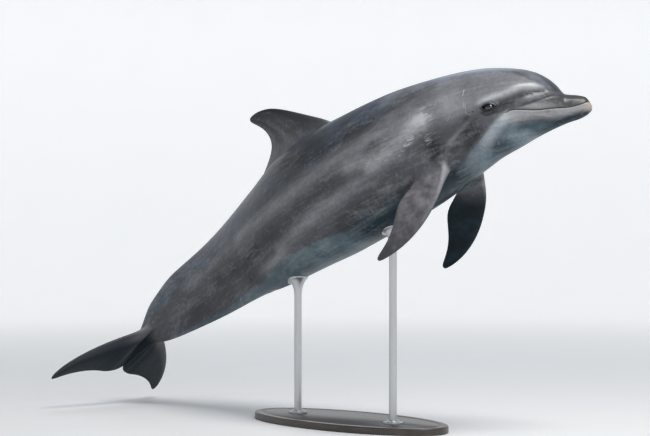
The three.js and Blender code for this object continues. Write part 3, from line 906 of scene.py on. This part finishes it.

# %% [markdown]
# ## Markings
# A bottlenose dolphin is grey in soft layers: a dark cape on the back, a mid grey flank with streaks,
# a pale underside, a dark stripe from the eye to the melon and pale lips. Light and shade are painted
# into some layers too: a dark teal painted shade on the underside, painted shade in folds and grooves,
# and painted highlights on the brow, the melon and the flank's ridge. Each layer is a mask painted
# with the same brushes and stored on the vertices, so the markings follow the folds exactly. The
# shader then breaks every edge up with noise, as a painter would soften a stencil.

# %% Where each marking lies
CAPE_EDGE = [(130, 46), (152, 65), (178, 84), (206, 100), (240, 124), (304, 144), (368, 150), (426, 152),
             (532, 148), (678, 120), (942, 92), (1104, 82), (1290, 68), (1448, 58), (1700, 60), (2300, 60)]
BACK_BAND = [(532, 166), (678, 139), (942, 114), (1104, 104), (1290, 92), (1448, 80)]
MID_BAND = [(742, 67), (952, 47), (1208, 30), (1422, 19), (1668, 37)]
THROAT_EDGE = [(0, -22), (50, -36), (116, -50), (204, -58), (274, -62), (300, -36)] + CHEEK_LINE[3:]
PALE_BELLY_EDGE = BELLY_EDGE + [(2000, -130), (2300, -80)]
# Pale markings, with painted highlights among them: a highlight over the paler skin of the brow ridge,
# highlights on the fold behind the eye and along the flank's ridge, and in the first blob a highlight on the
# melon.
PALE_AND_HIGHLIGHT_STROKES = [  # strength, line, width
    (0.6, BROW_RIDGE, 13), (0.3, PALE_BEHIND_EYE, 7), (0.5, SHOULDER_PATCH, 30), (0.22, MID_BAND, 26),
    (0.24, FLANK_RIDGE, 26),
]
PALE_AND_HIGHLIGHT_BLOBS = [  # strength, distance along, height, half length, half height
    (0.5, 180, 71, 26, 8), (0.6, 580, 34, 34, 32), (0.4, 1500, -146, 110, 16), (0.25, 470, 70, 60, 60),
    (0.25, 268, -99, 50, 12), (0.5, 300, -40, 26, 16),
]
# Dark markings, with painted shade among them: in the fold under the eye, the groove in front of the flipper,
# the armpit fold and the two flank grooves; along part of the belly's edge it is partly marking and partly
# painted shade in its groove.
DARK_AND_SHADE_STROKES = [
    (0.85, STRIPE_HIGH, 9), (0.8, STRIPE_MIDDLE, 8), (0.5, STRIPE_LOW, 7), (0.8, LOWER_LID_FOLD, 6),
    (0.5, DARK_BEHIND_EYE, 14), (0.9, FLIPPER_FRONT, 10), (0.9, ARMPIT_FOLD, 13), (0.55, FLANK_GROOVE, 28),
    (0.6, LOWER_GROOVE, 26), (0.6, BACK_BAND, 24), (0.5, [(1560, -60), (1700, -90), (1900, -40)], 34),
    (0.5, BELLY_EDGE[1:6], 11), *((0.45, points, 7) for points in FOREHEAD_LINES),
]
DARK_BLOBS = [
    (1.1, EYE_AT - 1, EYE_HEIGHT - 7, 33, 21), (0.9, 424, -17, 15, 15), (0.6, 438, -52, 30, 26),
    (1.0, 558, -66, 30, 28), (1.0, 544, -100, 28, 24), (1.3, 1180, 176, 190, 62), (0.4, 2094, -71, 130, 36),
    (0.35, 1370, -87, 90, 30), (0.8, 1692, -138, 50, 26),
]
RIPPLE_BLOBS = [
    (1.0, 560, 50, 46, 34), (1.0, 610, -34, 60, 40), (0.8, 420, -110, 40, 24), (0.6, 760, -30, 110, 40),
]

# %% Masks on the vertices
MASKS = {}


def store(name, values):
    layer = mesh.attributes.new(name, "FLOAT", "POINT")
    layer.data.foreach_set("value", np.clip(values, 0, 1).astype(np.float32))
    MASKS[name] = float(values.mean())


def painted(strokes, blobs):
    """All of a marking's strokes and blobs, each at its strength."""
    return (sum(strength * stroke(line, width) for strength, line, width in strokes)
            + sum(strength * blob(*where) for strength, *where in blobs))


cheek = smooth_step(-9, 10, below_cheek) * smooth_step(40, 10, below_cheek)
cheek *= smooth_step(276, 306, at) * (1 - 0.75 * smooth_step(350, 430, at)) * smooth_step(510, 450, at)
smudge = smooth_step(-38, -16, below_cheek) * smooth_step(1, -12, below_cheek) * between(384, 462, 20)
upper_lip, lower_lip = smooth_step(-2, 2, at_lips), smooth_step(2, -1.5, at_lips)

store("cape", above(CAPE_EDGE, 12) * on_body)
store("throat", (1 - above(THROAT_EDGE, 9)) * smooth_step(700, 560, at) * on_body)
store("belly", (1 - above(PALE_BELLY_EDGE, 20)) * smooth_step(500, 620, at) * on_body)
store("lips", above(LIP_EDGE, 13) * lower_lip * smooth_step(312, 276, at) * on_body)
store("tip", smooth_step(46, 6, at) * smooth_step(2, -1, at_lips) * above([(0, -28), (40, -22)], 9))
store("jaw", smooth_step(270, 200, at) * upper_lip * smooth_step(6, -6, over_crease) * on_body)
store("jaw_pale", blob(196, -7, 58, 13) * smooth_step(3, -6, over_crease) * smooth_step(-1, 3, at_lips))
# Pale markings and painted highlights; the last term makes the upper side from the beak to the shoulder
# paler, painted light from above.
store("pale", painted(PALE_AND_HIGHLIGHT_STROKES, PALE_AND_HIGHLIGHT_BLOBS) + 0.8 * cheek
      + 0.2 * between(150, 720, 60) * smooth_step(-0.35, 0.1, rise))
# Dark markings and painted shade; the last term is painted shade in the melon's crease.
store("dark", painted(DARK_AND_SHADE_STROKES, DARK_BLOBS) + 0.9 * smudge + 0.6 * crease_reach * hump(over_crease, 4.0))
store("ripple", painted([], RIPPLE_BLOBS))
# Painted shade: a dark teal under the chin, the throat and the belly, where the underside is turned from the
# light.
under_chin = 1 - above([(0, -30), (90, -52), (200, -84)], 10)
store("teal_shade", on_body * (
    (1.1 - 0.6 * smooth_step(90, 160, at)) * stroke(CHIN_SHADE, 15) + 0.7 * blob(340, -130, 60, 22)
    + 0.8 * under_chin * smooth_step(230, 170, at)
    + smooth_step(-0.62, -0.95, rise) * between(480, 1050, 80)))
# The tail stock low down between the flukes, which takes the painted shade of the flukes' undersides.
store("crest", smooth_step(2360, 2440, at) * smooth_step(0.35, -0.25, rise))
store("lid", near_eye * smooth_step(2.6, 0.9, almond))
store("seam", hump(at_lips + 0.3, 1.4) * lip_reach + slit_reach * hump(slit, 3.0) + hump(from_ear, 2.4))
print("masks:", {name: round(share, 3) for name, share in MASKS.items()})

# %% Two maps of the body: along and around it for patterns, along and up it for single marks


def store_vector(name, values):
    layer = mesh.attributes.new(name, "FLOAT_VECTOR", "POINT")
    layer.data.foreach_set("vector", values.astype(np.float32).ravel())


angle = np.arctan2(height - middle, np.abs(left))
around = angle * (tall + wide) / 2
store_vector("flow", np.stack([at, around, left], -1) * MM)
store_vector("address", np.stack([at, height, np.sign(left) / MM], -1) * MM)
print("skin is", round(float(np.ptp(around))), "mm from belly to back at the widest")

# %% [markdown]
# ## Skin finish
# Live skin is smooth and rubbery, and a good model is painted in thin glazes and left satin. So the
# colour is built the same way, glaze over glaze, from the flank's grey up to scratches. Gloss comes
# from a mid roughness with a thin clear coat, which breaks up a little where the skin is rubbed.

# %% Colours of the hide
FLANK, FLANK_WARM = paint(82, 83, 89), paint(69, 70, 73)
CAPE, CAPE_BLUE = paint(56, 60, 68), paint(74, 87, 104)
# Throat and belly: the underside's pale colour made a darker, cooler grey-blue, partly its own colour and
# partly painted shade.
THROAT, THROAT_DEEP = paint(102, 118, 129), paint(70, 86, 97)
# A dark teal for the painted shade under the chin, throat and belly.
TEAL_SHADE = paint(20, 40, 49)
BELLY, BELLY_DEEP = paint(108, 121, 130), paint(66, 83, 91)
LIPS, TIP_PINK, LID = paint(144, 144, 146), paint(162, 148, 137), paint(14, 17, 20)
UPPER_JAW, UPPER_JAW_PALE = paint(60, 61, 60), paint(140, 140, 140)
PALE, DARK, SCRATCH = paint(184, 187, 191), paint(24, 26, 28), paint(210, 212, 216)
FIN_GREY, FIN_TIP = paint(52, 54, 59), paint(16, 20, 28)
# The last two fluke colours are a dark teal painted shade under the flukes, the second lighter for patches in
# it; the next line is the same painted shade on the flippers' inner faces.
FLUKE_TOP, FLUKE_UNDER_SHADE, FLUKE_SHADE_PATCH = paint(68, 70, 76), paint(4, 22, 30), paint(18, 40, 50)
INNER_FLIPPER_SHADE, INNER_SHADE_SHEEN = paint(6, 20, 27), paint(24, 42, 50)
FLIPPER_GREY, FLIPPER_DARK, FLIPPER_TIP = paint(112, 110, 115), paint(72, 71, 75), paint(62, 61, 64)
CRACK = paint(12, 12, 14)
print("flank as the shader reads it:", [round(v, 3) for v in FLANK])

# %% Scratches, and the rake marks of another dolphin's teeth
SCRATCHES = [  # turn, cell, half length, half width in metres, share of the cells
    (0.5, 0.16, 0.035, 0.001, 0.3), (-0.9, 0.12, 0.02, 0.0009, 0.25), (1.5, 0.1, 0.012, 0.001, 0.2),
]
RAKES = [(0.8, 0.34, 0.02, 0.005, 0.3), (-0.5, 0.4, 0.018, 0.0045, 0.25)]  # a spacing, not a width
SCRATCH_BOW = 0.2


def scattered(flow, turn, cell, channel):
    """A turned Voronoi pattern: the way from each cell's middle, and a number drawn for the cell."""
    turned_flow = flow.node("ShaderNodeMapping", None, {"Vector": flow, "Rotation": (0, 0, turn)})
    scaled = turned_flow.vector("MULTIPLY", (1 / cell,) * 3)
    cells = {"Vector": scaled, "Scale": 1.0, "Randomness": 1.0}
    middle, drawn = (scaled.node("ShaderNodeTexVoronoi", None, cells, output=output) for output in (2, 1))
    away = scaled.vector("SUBTRACT", middle)
    return away.part(0), away.part(1), drawn.part(channel)


def scratch_lines(flow, turn, cell, half_length, half_width, density):
    """Short pale lines, slightly bowed, all turned by the same angle."""
    along, across, drawn = scattered(flow, turn, cell, 0)
    off_line = (across + along * along * SCRATCH_BOW).math("ABSOLUTE")
    line = 1 - off_line.step(half_width * 0.3 / cell, half_width / cell)
    ends = 1 - along.math("ABSOLUTE").step(half_length * 0.4 / cell, half_length / cell)
    return line * ends * drawn.step(1 - density, 1.02 - density)


def rake_marks(flow, turn, cell, half_length, spacing, density):
    """Sets of parallel scratches."""
    along, across, drawn = scattered(flow, turn, cell, 1)
    comb = (across * (2 * math.pi * cell / spacing)).math("COSINE").step(0.55, 0.98)
    ends = 1 - along.math("ABSOLUTE").step(half_length * 0.4 / cell, half_length / cell)
    sides = 1 - across.math("ABSOLUTE").step(1.1 * spacing / cell, 1.9 * spacing / cell)
    return comb * ends * sides * drawn.step(1 - density, 1.02 - density)


# %% Single scars and cracks on the right side of the head and shoulder
RIGHT_SIDE = -1.0
SCARS = [  # from, to, width, strength
    ((418, 97), (424, 75), 1.7, 1.0), ((424, 48), (426, 25), 1.3, 0.7), ((418, 44), (424, 1), 1.0, 0.45),
    ((380, -82), (374, -100), 0.9, 0.6), ((387, -88), (381, -107), 0.9, 0.6),
    ((395, -94), (388, -114), 0.9, 0.5), ((404, -101), (396, -120), 0.9, 0.5),
    ((470, 20), (486, -4), 1.2, 0.5), ((508, 92), (520, 60), 1.2, 0.5),
]
CRACKS = [
    ((416, -28), (414, -58), 1.4, 0.6), ((414, -58), (411, -84), 1.4, 0.6),
    ((438, -104), (436, -122), 1.4, 0.6),
]


def line_mark(address, start, end, width):
    """1 on a straight line between two places of the right side, 0 a width away from it."""
    first = Vector((*start, RIGHT_SIDE / MM)) * MM
    run = Vector((*end, RIGHT_SIDE / MM)) * MM - first
    away = address.vector("SUBTRACT", tuple(first))
    share = (away.vector("DOT_PRODUCT", tuple(run), output=1) * (1 / run.length_squared)).clamp()
    foot = away.node("ShaderNodeVectorMath", {"operation": "SCALE"}, {0: tuple(run), "Scale": share})
    off_line = away.vector("SUBTRACT", foot).vector("LENGTH", output=1)
    return 1 - off_line.step(width * 0.3 * MM, width * MM)


def with_lines(base, address, lines):
    """Adds each line to a mask, keeping whichever is stronger."""
    for start, end, width, strength in lines:
        base = base.math("MAXIMUM", line_mark(address, start, end, width) * strength)
    return base


# %% Glazes for the body and for the outer faces of the fins


def glazed(base, glazes):
    """Lays colours over a base one by one, each as thickly as its mask says."""
    for thickness, colour in glazes:
        base = thickness.over(base, colour)
    return base


def body_glazes(masks, cloud, patch, streak):
    def soft(name, amount):
        """A mask with its edge broken up by clouds and streaks."""
        return (masks[name] + (patch - 0.5) * amount + (streak - 0.5) * amount).step(0.25, 0.75)

    return [
        (soft("cape", 0.6) * 0.8, patch.step(0.35, 0.7).over(CAPE, CAPE_BLUE)),
        (soft("belly", 0.5), cloud.step(0.3, 0.7).over(BELLY, BELLY_DEEP)),
        (soft("throat", 0.35), patch.step(0.3, 0.72).over(THROAT, THROAT_DEEP)),
        # Painted shade: dark teal under the chin, throat and belly.
        (masks["teal_shade"] * (0.75 + cloud * 0.6), TEAL_SHADE),
        (soft("jaw", 0.15) * 0.92, UPPER_JAW),
        (masks["jaw_pale"] * 0.9, UPPER_JAW_PALE),
        (masks["lips"] * (0.75 + patch * 0.5), LIPS),
        # Pale markings, and painted highlights on the brow, the melon, the fold behind the eye and the
        # flank's ridge.
        (masks["pale"] * (0.35 + patch * 0.9), PALE),
        # Dark markings, and painted shade in the folds, the grooves and the melon's crease.
        (masks["dark"] * (0.35 + streak * 0.9), DARK),
        (masks["tip"], TIP_PINK),
        (masks["lid"], LID),
    ]


def fin_glazes(fin, flipper, chord, patch):
    """Darker towards the tips, and a painted highlight on the front edge of the flipper's root."""
    flipper_grey = patch.step(0.35, 0.7).over(FLIPPER_GREY, FLIPPER_DARK)
    # A painted highlight along the front edge of the flipper's root.
    flipper_root_highlight = (1 - flipper.step(0.12, 0.4) * 0.7) * (1 - flipper.step(0.5, 0.8)) * flipper.step(0.02, 0.12)
    return [
        (fin.step(0.0, 0.3), fin.step(0.25, 1.0).over(FIN_GREY, FIN_TIP)),
        (flipper.step(0.04, 0.2), flipper.step(0.4, 1.0).over(flipper_grey, FLIPPER_TIP)),
        ((1 - chord.step(0.0, 0.09)) * flipper_root_highlight * (0.1 + patch * 0.6), PALE),
    ]


# %% Glazes for the flukes: painted shade on the flippers' inner faces and under the flukes, and a painted highlight at the flukes' roots


def shade_reaches(masks, flipper, fluke):
    """How far the painted shade reaches on the flippers' inner faces, under the flukes and on the tail stock
    between them.
    """
    lower_face = masks["under"].step(-0.4, 0.4)
    trailing_half = 0.4 + masks["chord"].step(0.05, 0.3) * 0.6
    under_fluke_shade = fluke.step(0.02, 0.16) * lower_face * trailing_half
    return (flipper.step(0.0, 0.34) * lower_face,
            under_fluke_shade.math("MAXIMUM", masks["crest"] * (1 - fluke.step(0.02, 0.2))))


def dark_glazes(inner_shade, under_shade, fluke, chord, patch):
    # A painted highlight along the front of each fluke's root.
    fluke_root_highlight = (1 - fluke.step(0.12, 0.42)) * (1 - chord.step(0.1, 0.4)) * fluke.step(0.0, 0.2)
    return [
        # Painted shade on the flippers' inner faces, lighter in patches.
        (inner_shade, patch.step(0.35, 0.75).over(INNER_FLIPPER_SHADE, INNER_SHADE_SHEEN)),
        (fluke.step(0.0, 0.16), FLUKE_TOP),
        (fluke_root_highlight * 0.3, PALE),
        # Painted shade under the flukes and on the tail stock between them, lighter in patches.
        (under_shade, patch.step(0.45, 0.8).over(FLUKE_UNDER_SHADE, FLUKE_SHADE_PATCH)),
    ]


# %% The whole finish of the skin
SKIN_GLOSS = {"Specular_IOR_Level": 0.16, "Coat_Roughness": 0.12}
SKIN_ROUGHNESS, WET = 0.46, 0.2
CLOUDS = [(5.0, 4.0, 0.55), (17.0, 4.0, 0.6), (70.0, 4.0, 0.65)]  # scale, detail, roughness
STREAKS = [  # scale along, around and across the body, detail, roughness
    ((4.0, 14.0, 8.0), 5.0, 0.6), ((12.0, 90.0, 40.0), 3.0, 0.5), ((26.0, 90.0, 20.0), 2.0, 0.4),
]


def skin_material():
    material, tree, shader = new_material("dolphin_skin", FLANK)
    place = object_place(tree)
    flow, address = (attribute(tree, name, "Vector") for name in ("flow", "address"))
    masks = {name: attribute(tree, name) for name in (*MASKS, *span_mark, "chord", "under")}
    fin, flipper, fluke = (masks[name] for name in span_mark)
    cloud, patch, mottle = (place.noise(*values) for values in CLOUDS)
    streak, hair_streak, waves = (flow.vector("MULTIPLY", per_metre).noise(1.0, *values)
                                  for per_metre, *values in STREAKS)

    shade = (streak - 0.5) * 0.6 + (hair_streak - 0.5) * 0.3 + (mottle - 0.5) * 0.35
    lines = sum(scratch_lines(flow, *scratch) for scratch in SCRATCHES)
    lines += sum(rake_marks(flow, *rake) for rake in RAKES)
    marks = with_lines((lines * (0.35 + patch * 0.6)).clamp(), address, SCARS)
    cracks = with_lines(masks["seam"], address, CRACKS)
    ripples = waves.step(0.56, 0.62) * (1 - waves.step(0.62, 0.7)) * masks["ripple"]
    ripples *= patch.step(0.4, 0.55)
    inner_shade, under_shade = shade_reaches(masks, flipper, fluke)
    colour = glazed(cloud.step(0.35, 0.7).over(FLANK, FLANK_WARM), [
        *body_glazes(masks, cloud, patch, streak),
        *fin_glazes(fin, flipper, masks["chord"], patch),
        (shade * 1.1, PALE), (shade * -2.0, DARK), (marks * 0.45, SCRATCH), (ripples * 0.75, PALE),
        (cracks * 0.92, CRACK),
        *dark_glazes(inner_shade, under_shade, fluke, masks["chord"], patch),
    ])
    relief = (mottle * 0.25 + hair_streak * 0.25 - marks * 0.6 + ripples * 1.2 - waves * masks["ripple"]
              + patch * 0.6)
    bump = {"Strength": 0.4, "Distance": 0.004, "Height": relief}
    roughness = SKIN_ROUGHNESS + (mottle - 0.5) * 0.2 + (patch - 0.5) * 0.2 + marks * 0.15
    connect(tree, shader, Base_Color=colour, Roughness=roughness,
            Coat_Weight=(1 - inner_shade) * (1 - under_shade) * WET,
            Normal=relief.node("ShaderNodeBump", None, bump), **SKIN_GLOSS)
    print("skin finish:", len(tree.nodes), "nodes")
    return material


mesh.materials.append(skin_material())

# %% The skin stands for every part of flesh
FLESH = ["head", "upper_jaw", "lower_jaw", "chest", "trunk", "tail_stock", "dorsal_fin",
         "flipper_right", "flipper_left", "fluke_right", "fluke_left"]
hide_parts(*FLESH)
print("the skin replaces", len(FLESH), "nodes")

# %% [markdown]
# ## Eyes
# A dolphin's eye shows as a dark wet almond between thick lids. Model makers set a glass eye behind
# the lids, and so does this: a ball slightly flattened at the front, with a brown iris round a wide
# horizontal pupil, under a clear shell whose gloss is in the shader.

# %% Two glass eyes, turned to look out of the head
EYE_HALF_SIZE = (22 * MM, 16.5 * MM, 16 * MM)  # along the head, up it and out of it
EYE_SINK, BALL_SEGMENTS, BALL_RINGS = EYE_DEPTH + 1.5, 48, 32
IRIS_TALL, PUPIL_LONG, PUPIL_TALL = 1.3, 3.6, 13.0  # how much faster each ends along and up the eye
IRIS_DARK, IRIS_BROWN = paint(15, 12, 10), paint(32, 24, 18)
EYE_WHITE, PUPIL = paint(22, 20, 20), paint(5, 6, 8)


def glass_eye(name, side):
    centre, front, fore, aft = (Vector(side_place(EYE_AT + back, EYE_HEIGHT, side, sink))
                                for back, sink in ((0, EYE_SINK), (0, 0), (-10, 0), (10, 0)))
    outward = (front - centre).normalized()
    ahead = fore - aft
    ahead = (ahead - outward * ahead.dot(outward)).normalized()
    upward = outward.cross(ahead)
    eye = bmesh.new()
    bmesh.ops.create_uvsphere(eye, u_segments=BALL_SEGMENTS, v_segments=BALL_RINGS, radius=1.0)
    gaze = eye.verts.layers.float_vector.new("gaze")
    for vert in eye.verts:
        vert[gaze] = vert.co.copy()
    bmesh.ops.scale(eye, verts=eye.verts, vec=EYE_HALF_SIZE)
    for vert in eye.verts:
        vert.co = centre + ahead * vert.co.x + upward * vert.co.y + outward * vert.co.z
    bmesh.ops.recalc_face_normals(eye, faces=eye.faces)
    return new_piece(eye, name)


def eye_material():
    material, tree, shader = new_material("glass_eye", IRIS_DARK)
    gaze = attribute(tree, "gaze", "Vector")
    x, y = gaze.part(0), gaze.part(1)
    iris_away = (x * x + y * y * IRIS_TALL).math("SQRT")
    pupil_away = (x * x * PUPIL_LONG + y * y * PUPIL_TALL).math("SQRT")
    fibres = gaze.vector("MULTIPLY", (14.0, 14.0, 3.0)).noise(1.0, 3.0)
    iris = fibres.step(0.3, 0.7).over(IRIS_DARK, IRIS_BROWN)
    colour = pupil_away.step(0.9, 1.1).over(PUPIL, iris_away.step(0.52, 0.66).over(iris, EYE_WHITE))
    connect(tree, shader, Base_Color=colour, Roughness=0.06 + fibres * 0.03, Coat_Weight=1.0,
            Coat_Roughness=0.02)
    return material


eye_finish = eye_material()
for name, side in (("eye_right", -1), ("eye_left", 1)):
    eye = glass_eye(name + "_glass", side)
    eye.data.materials.append(eye_finish)
    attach(eye, "root")
    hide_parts(name)
print("eyes set", EYE_DEPTH, "mm deep")

# %% [markdown]
# ## Stand
# The stand should carry the animal and draw no attention: an oval of dark stained oak, with two steel
# rods that open into cups under the belly. Turned parts are a half outline spun about an axis. The
# top of each cup is then laid against the skin with a ray cast upwards, as a fitter would grind it.

# %% A stand piece, smooth but for its sharp edges
BASE_LENGTH, BASE_WIDTH, BASE_THICKNESS = 1000, 440, 28
ROD_RADIUS, CUP_RADIUS, COLLAR_RADIUS, COLLAR_HEIGHT = 15, 42, 38, 16


def stand_piece(bm, name, node, sharp_over=35):
    """Makes the object, attaches it to the root and hides the node that it stands for."""
    for edge in bm.edges:
        edge.smooth = not edge.is_manifold or edge.calc_face_angle(0) < math.radians(sharp_over)
    piece = new_piece(bm, name)
    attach(piece, "root")
    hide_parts(node)
    return piece


# %% Oval base with a routed line
ROUTED_INSET, ROUTED_WIDTH, ROUTED_DEPTH = 26, 5, 2.5
OVAL_SEGMENTS, EDGE_ROUND, EDGE_STEPS = 192, 5, 4


def oval_base():
    bm = bmesh.new()
    bmesh.ops.create_circle(bm, cap_ends=True, segments=OVAL_SEGMENTS, radius=1.0)
    bmesh.ops.scale(bm, verts=bm.verts, vec=(BASE_LENGTH / 2 * MM, BASE_WIDTH / 2 * MM, 1))
    top = bmesh.ops.extrude_face_region(bm, geom=bm.faces[:])["geom"]
    top_verts = [item for item in top if isinstance(item, bmesh.types.BMVert)]
    bmesh.ops.translate(bm, verts=top_verts, vec=(0, 0, BASE_THICKNESS * MM))
    bmesh.ops.recalc_face_normals(bm, faces=bm.faces)
    rims = [edge for edge in bm.edges if edge.calc_face_angle(0) > 1]
    bmesh.ops.bevel(bm, geom=rims, offset=EDGE_ROUND * MM, segments=EDGE_STEPS, profile=0.5, affect="EDGES",
                    material=-1)
    lid = [face for face in bm.faces if face.normal.z > 0.99 and len(face.verts) > 8]
    half = ROUTED_WIDTH / 2
    for inset, depth in ((ROUTED_INSET, 0), (half, -ROUTED_DEPTH), (half, ROUTED_DEPTH)):
        bmesh.ops.inset_region(bm, faces=lid, thickness=inset * MM, depth=depth * MM)
    return bm


base = stand_piece(oval_base(), "base_oak", "stand_base", sharp_over=50)
print("base faces:", len(base.data.polygons))

# %% Rods with fitted cups
belly_skin = BVHTree.FromObject(skin, bpy.context.evaluated_depsgraph_get())
CUP_RIM, CUP_FLARE = 5, 58
FIT_GAP, ROD_SUNK = 0.3, 1


def skin_over(x, y):
    """Height of the lowest skin over a place on the floor, in metres."""
    return belly_skin.ray_cast(Vector((x, y, BASE_THICKNESS * MM)), Vector((0, 0, 1)))[0].z


def rod_with_cup(x, y):
    """A rod that opens like a trumpet. Its mouth leans over, ring by ring, to lie along the belly."""
    skin_height = skin_over(x, y)
    top, foot = skin_height / MM - FIT_GAP, BASE_THICKNESS - ROD_SUNK
    outline = [(0, foot), (ROD_RADIUS, foot)]
    outline += [(ROD_RADIUS + (CUP_RADIUS - ROD_RADIUS) * (1 - math.cos(t)),
                 top - CUP_RIM - CUP_FLARE * (1 - math.sin(t))) for t in np.linspace(0, math.pi / 2, 12)]
    outline += [(CUP_RADIUS, top - 1), (CUP_RADIUS - 1, top)]
    outline += [(radius, top) for radius in np.linspace(CUP_RADIUS - 3, 0, 12)]
    bm = turned(outline, x, y)
    for vert in bm.verts:
        out = Vector((vert.co.x - x, vert.co.y - y)).length
        under_rim = float(smooth_step(top - CUP_RIM - CUP_FLARE, top - CUP_RIM, vert.co.z / MM))
        lean = 1.0 if vert.co.z / MM > top - CUP_RIM else under_rim * min(out / (CUP_RADIUS * MM), 1)
        vert.co.z += (skin_over(vert.co.x, vert.co.y) - skin_height) * lean
    return bm


# %% Foot collars with screws
SCREW_RADIUS, SCREW_HEIGHT, SCREW_CIRCLE = 4.2, 2.6, 31.5
SCREW_ANGLES, SCREW_SEGMENTS, SCREW_TAPER = (45, 135, 225, 315), 24, 0.8
FLANGE_HEIGHT, NECK_ROUND, NECK_WALL, SHAFT_GAP = 7, 4, 6, 0.2
SOCKET_EDGE, SOCKET_SINK = 0.35, 1.4


def collar(x, y):
    foot, top = BASE_THICKNESS, BASE_THICKNESS + COLLAR_HEIGHT
    bore, neck = ROD_RADIUS + SHAFT_GAP, ROD_RADIUS + NECK_WALL
    outline = [(bore, foot), (COLLAR_RADIUS - 1, foot), (COLLAR_RADIUS, foot + 1),
               (COLLAR_RADIUS, foot + FLANGE_HEIGHT - 1), (COLLAR_RADIUS - 1, foot + FLANGE_HEIGHT),
               (neck + NECK_ROUND, foot + FLANGE_HEIGHT + 1)]
    outline += [(neck + NECK_ROUND * math.cos(t), top - 6 + NECK_ROUND * math.sin(t))
                for t in np.linspace(0, math.pi / 2, 6)]
    outline += [(bore + 1, top - 1), (bore, top - 2), (bore, foot)]
    bm = turned(outline, x, y)
    for angle in np.radians(SCREW_ANGLES):
        way = Vector((math.cos(angle), math.sin(angle), 0)) * SCREW_CIRCLE
        add_screw(bm, Vector((x, y, (foot + FLANGE_HEIGHT + SCREW_HEIGHT / 2) * MM)) + way * MM)
    return bm


def add_screw(bm, centre):
    """A button head with a round socket."""
    head = bmesh.ops.create_cone(
        bm, cap_ends=True, segments=SCREW_SEGMENTS, radius1=SCREW_RADIUS * MM,
        radius2=SCREW_RADIUS * SCREW_TAPER * MM, depth=SCREW_HEIGHT * MM)["verts"]
    bmesh.ops.translate(bm, verts=head, vec=centre)
    cap = [face for face in {f for vert in head for f in vert.link_faces} if face.normal.z > 0.9]
    bmesh.ops.inset_region(bm, faces=cap, thickness=SCREW_RADIUS * SOCKET_EDGE * MM)
    bmesh.ops.inset_region(bm, faces=cap, thickness=0.05 * MM, depth=-SOCKET_SINK * MM)


def node_middle(node):
    low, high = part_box(node)
    return (low.x + high.x) / 2, (low.y + high.y) / 2


steel_pieces = []
for name in ("front", "rear"):
    for part, make in (("rod", rod_with_cup), ("collar", collar)):
        shape = make(*node_middle("stand_collar_" + name))
        steel_pieces.append(stand_piece(shape, f"{part}_steel_{name}", f"stand_{part}_{name}"))
print("stand pieces:", [piece.name for piece in steel_pieces])

# %% [markdown]
# ## Finish of the stand
# Oak takes a dark stain more in its open pores than between them, and a satin lacquer leaves both to
# be felt. Steel rods are brushed round and then handled. Noise that is stretched along the grain, or
# squeezed along the rod, gives both, and the same noise drives colour, gloss and a slight relief.

# %% Stained oak and brushed steel
OAK_DARK, OAK_LIGHT, OAK_PORE = paint(38, 32, 29), paint(64, 53, 46), paint(20, 17, 16)
STEEL_DULL, STEEL_BRIGHT = paint(176, 178, 181), paint(206, 208, 210)


def oak_material():
    material, tree, shader = new_material("stained_oak", OAK_DARK)
    place = object_place(tree)
    grain = place.vector("MULTIPLY", (3.0, 26.0, 26.0)).noise(1.6, 6.0, 0.6)
    pores = place.vector("MULTIPLY", (30.0, 700.0, 700.0)).noise(1.0, 2.0, 0.5).step(0.62, 0.72)
    colour = glazed(OAK_DARK, [(grain.step(0.3, 0.7), OAK_LIGHT), (pores * 0.6, OAK_PORE)])
    relief = grain * 0.3 - pores
    bump = {"Strength": 0.25, "Distance": 0.0006, "Height": relief}
    connect(tree, shader, Base_Color=colour, Roughness=0.34 + grain * 0.16 + pores * 0.2, Coat_Weight=0.25,
            Coat_Roughness=0.2, Normal=relief.node("ShaderNodeBump", None, bump))
    return material


def steel_material():
    material, tree, shader = new_material("brushed_steel", STEEL_BRIGHT)
    place = object_place(tree)
    brush = place.vector("MULTIPLY", (60.0, 60.0, 900.0)).noise(1.0, 2.0, 0.6)
    smudge = place.noise(22.0, 3.0)
    bump = {"Strength": 0.12, "Distance": 0.0002, "Height": brush}
    connect(tree, shader, Base_Color=brush.over(STEEL_DULL, STEEL_BRIGHT), Metallic=1.0,
            Roughness=0.24 + brush * 0.1 + smudge * 0.14, Normal=brush.node("ShaderNodeBump", None, bump))
    return material


base.data.materials.append(oak_material())
steel = steel_material()
for piece in steel_pieces:
    piece.data.materials.append(steel)
print("stand finished:", len(steel_pieces) + 1, "pieces")
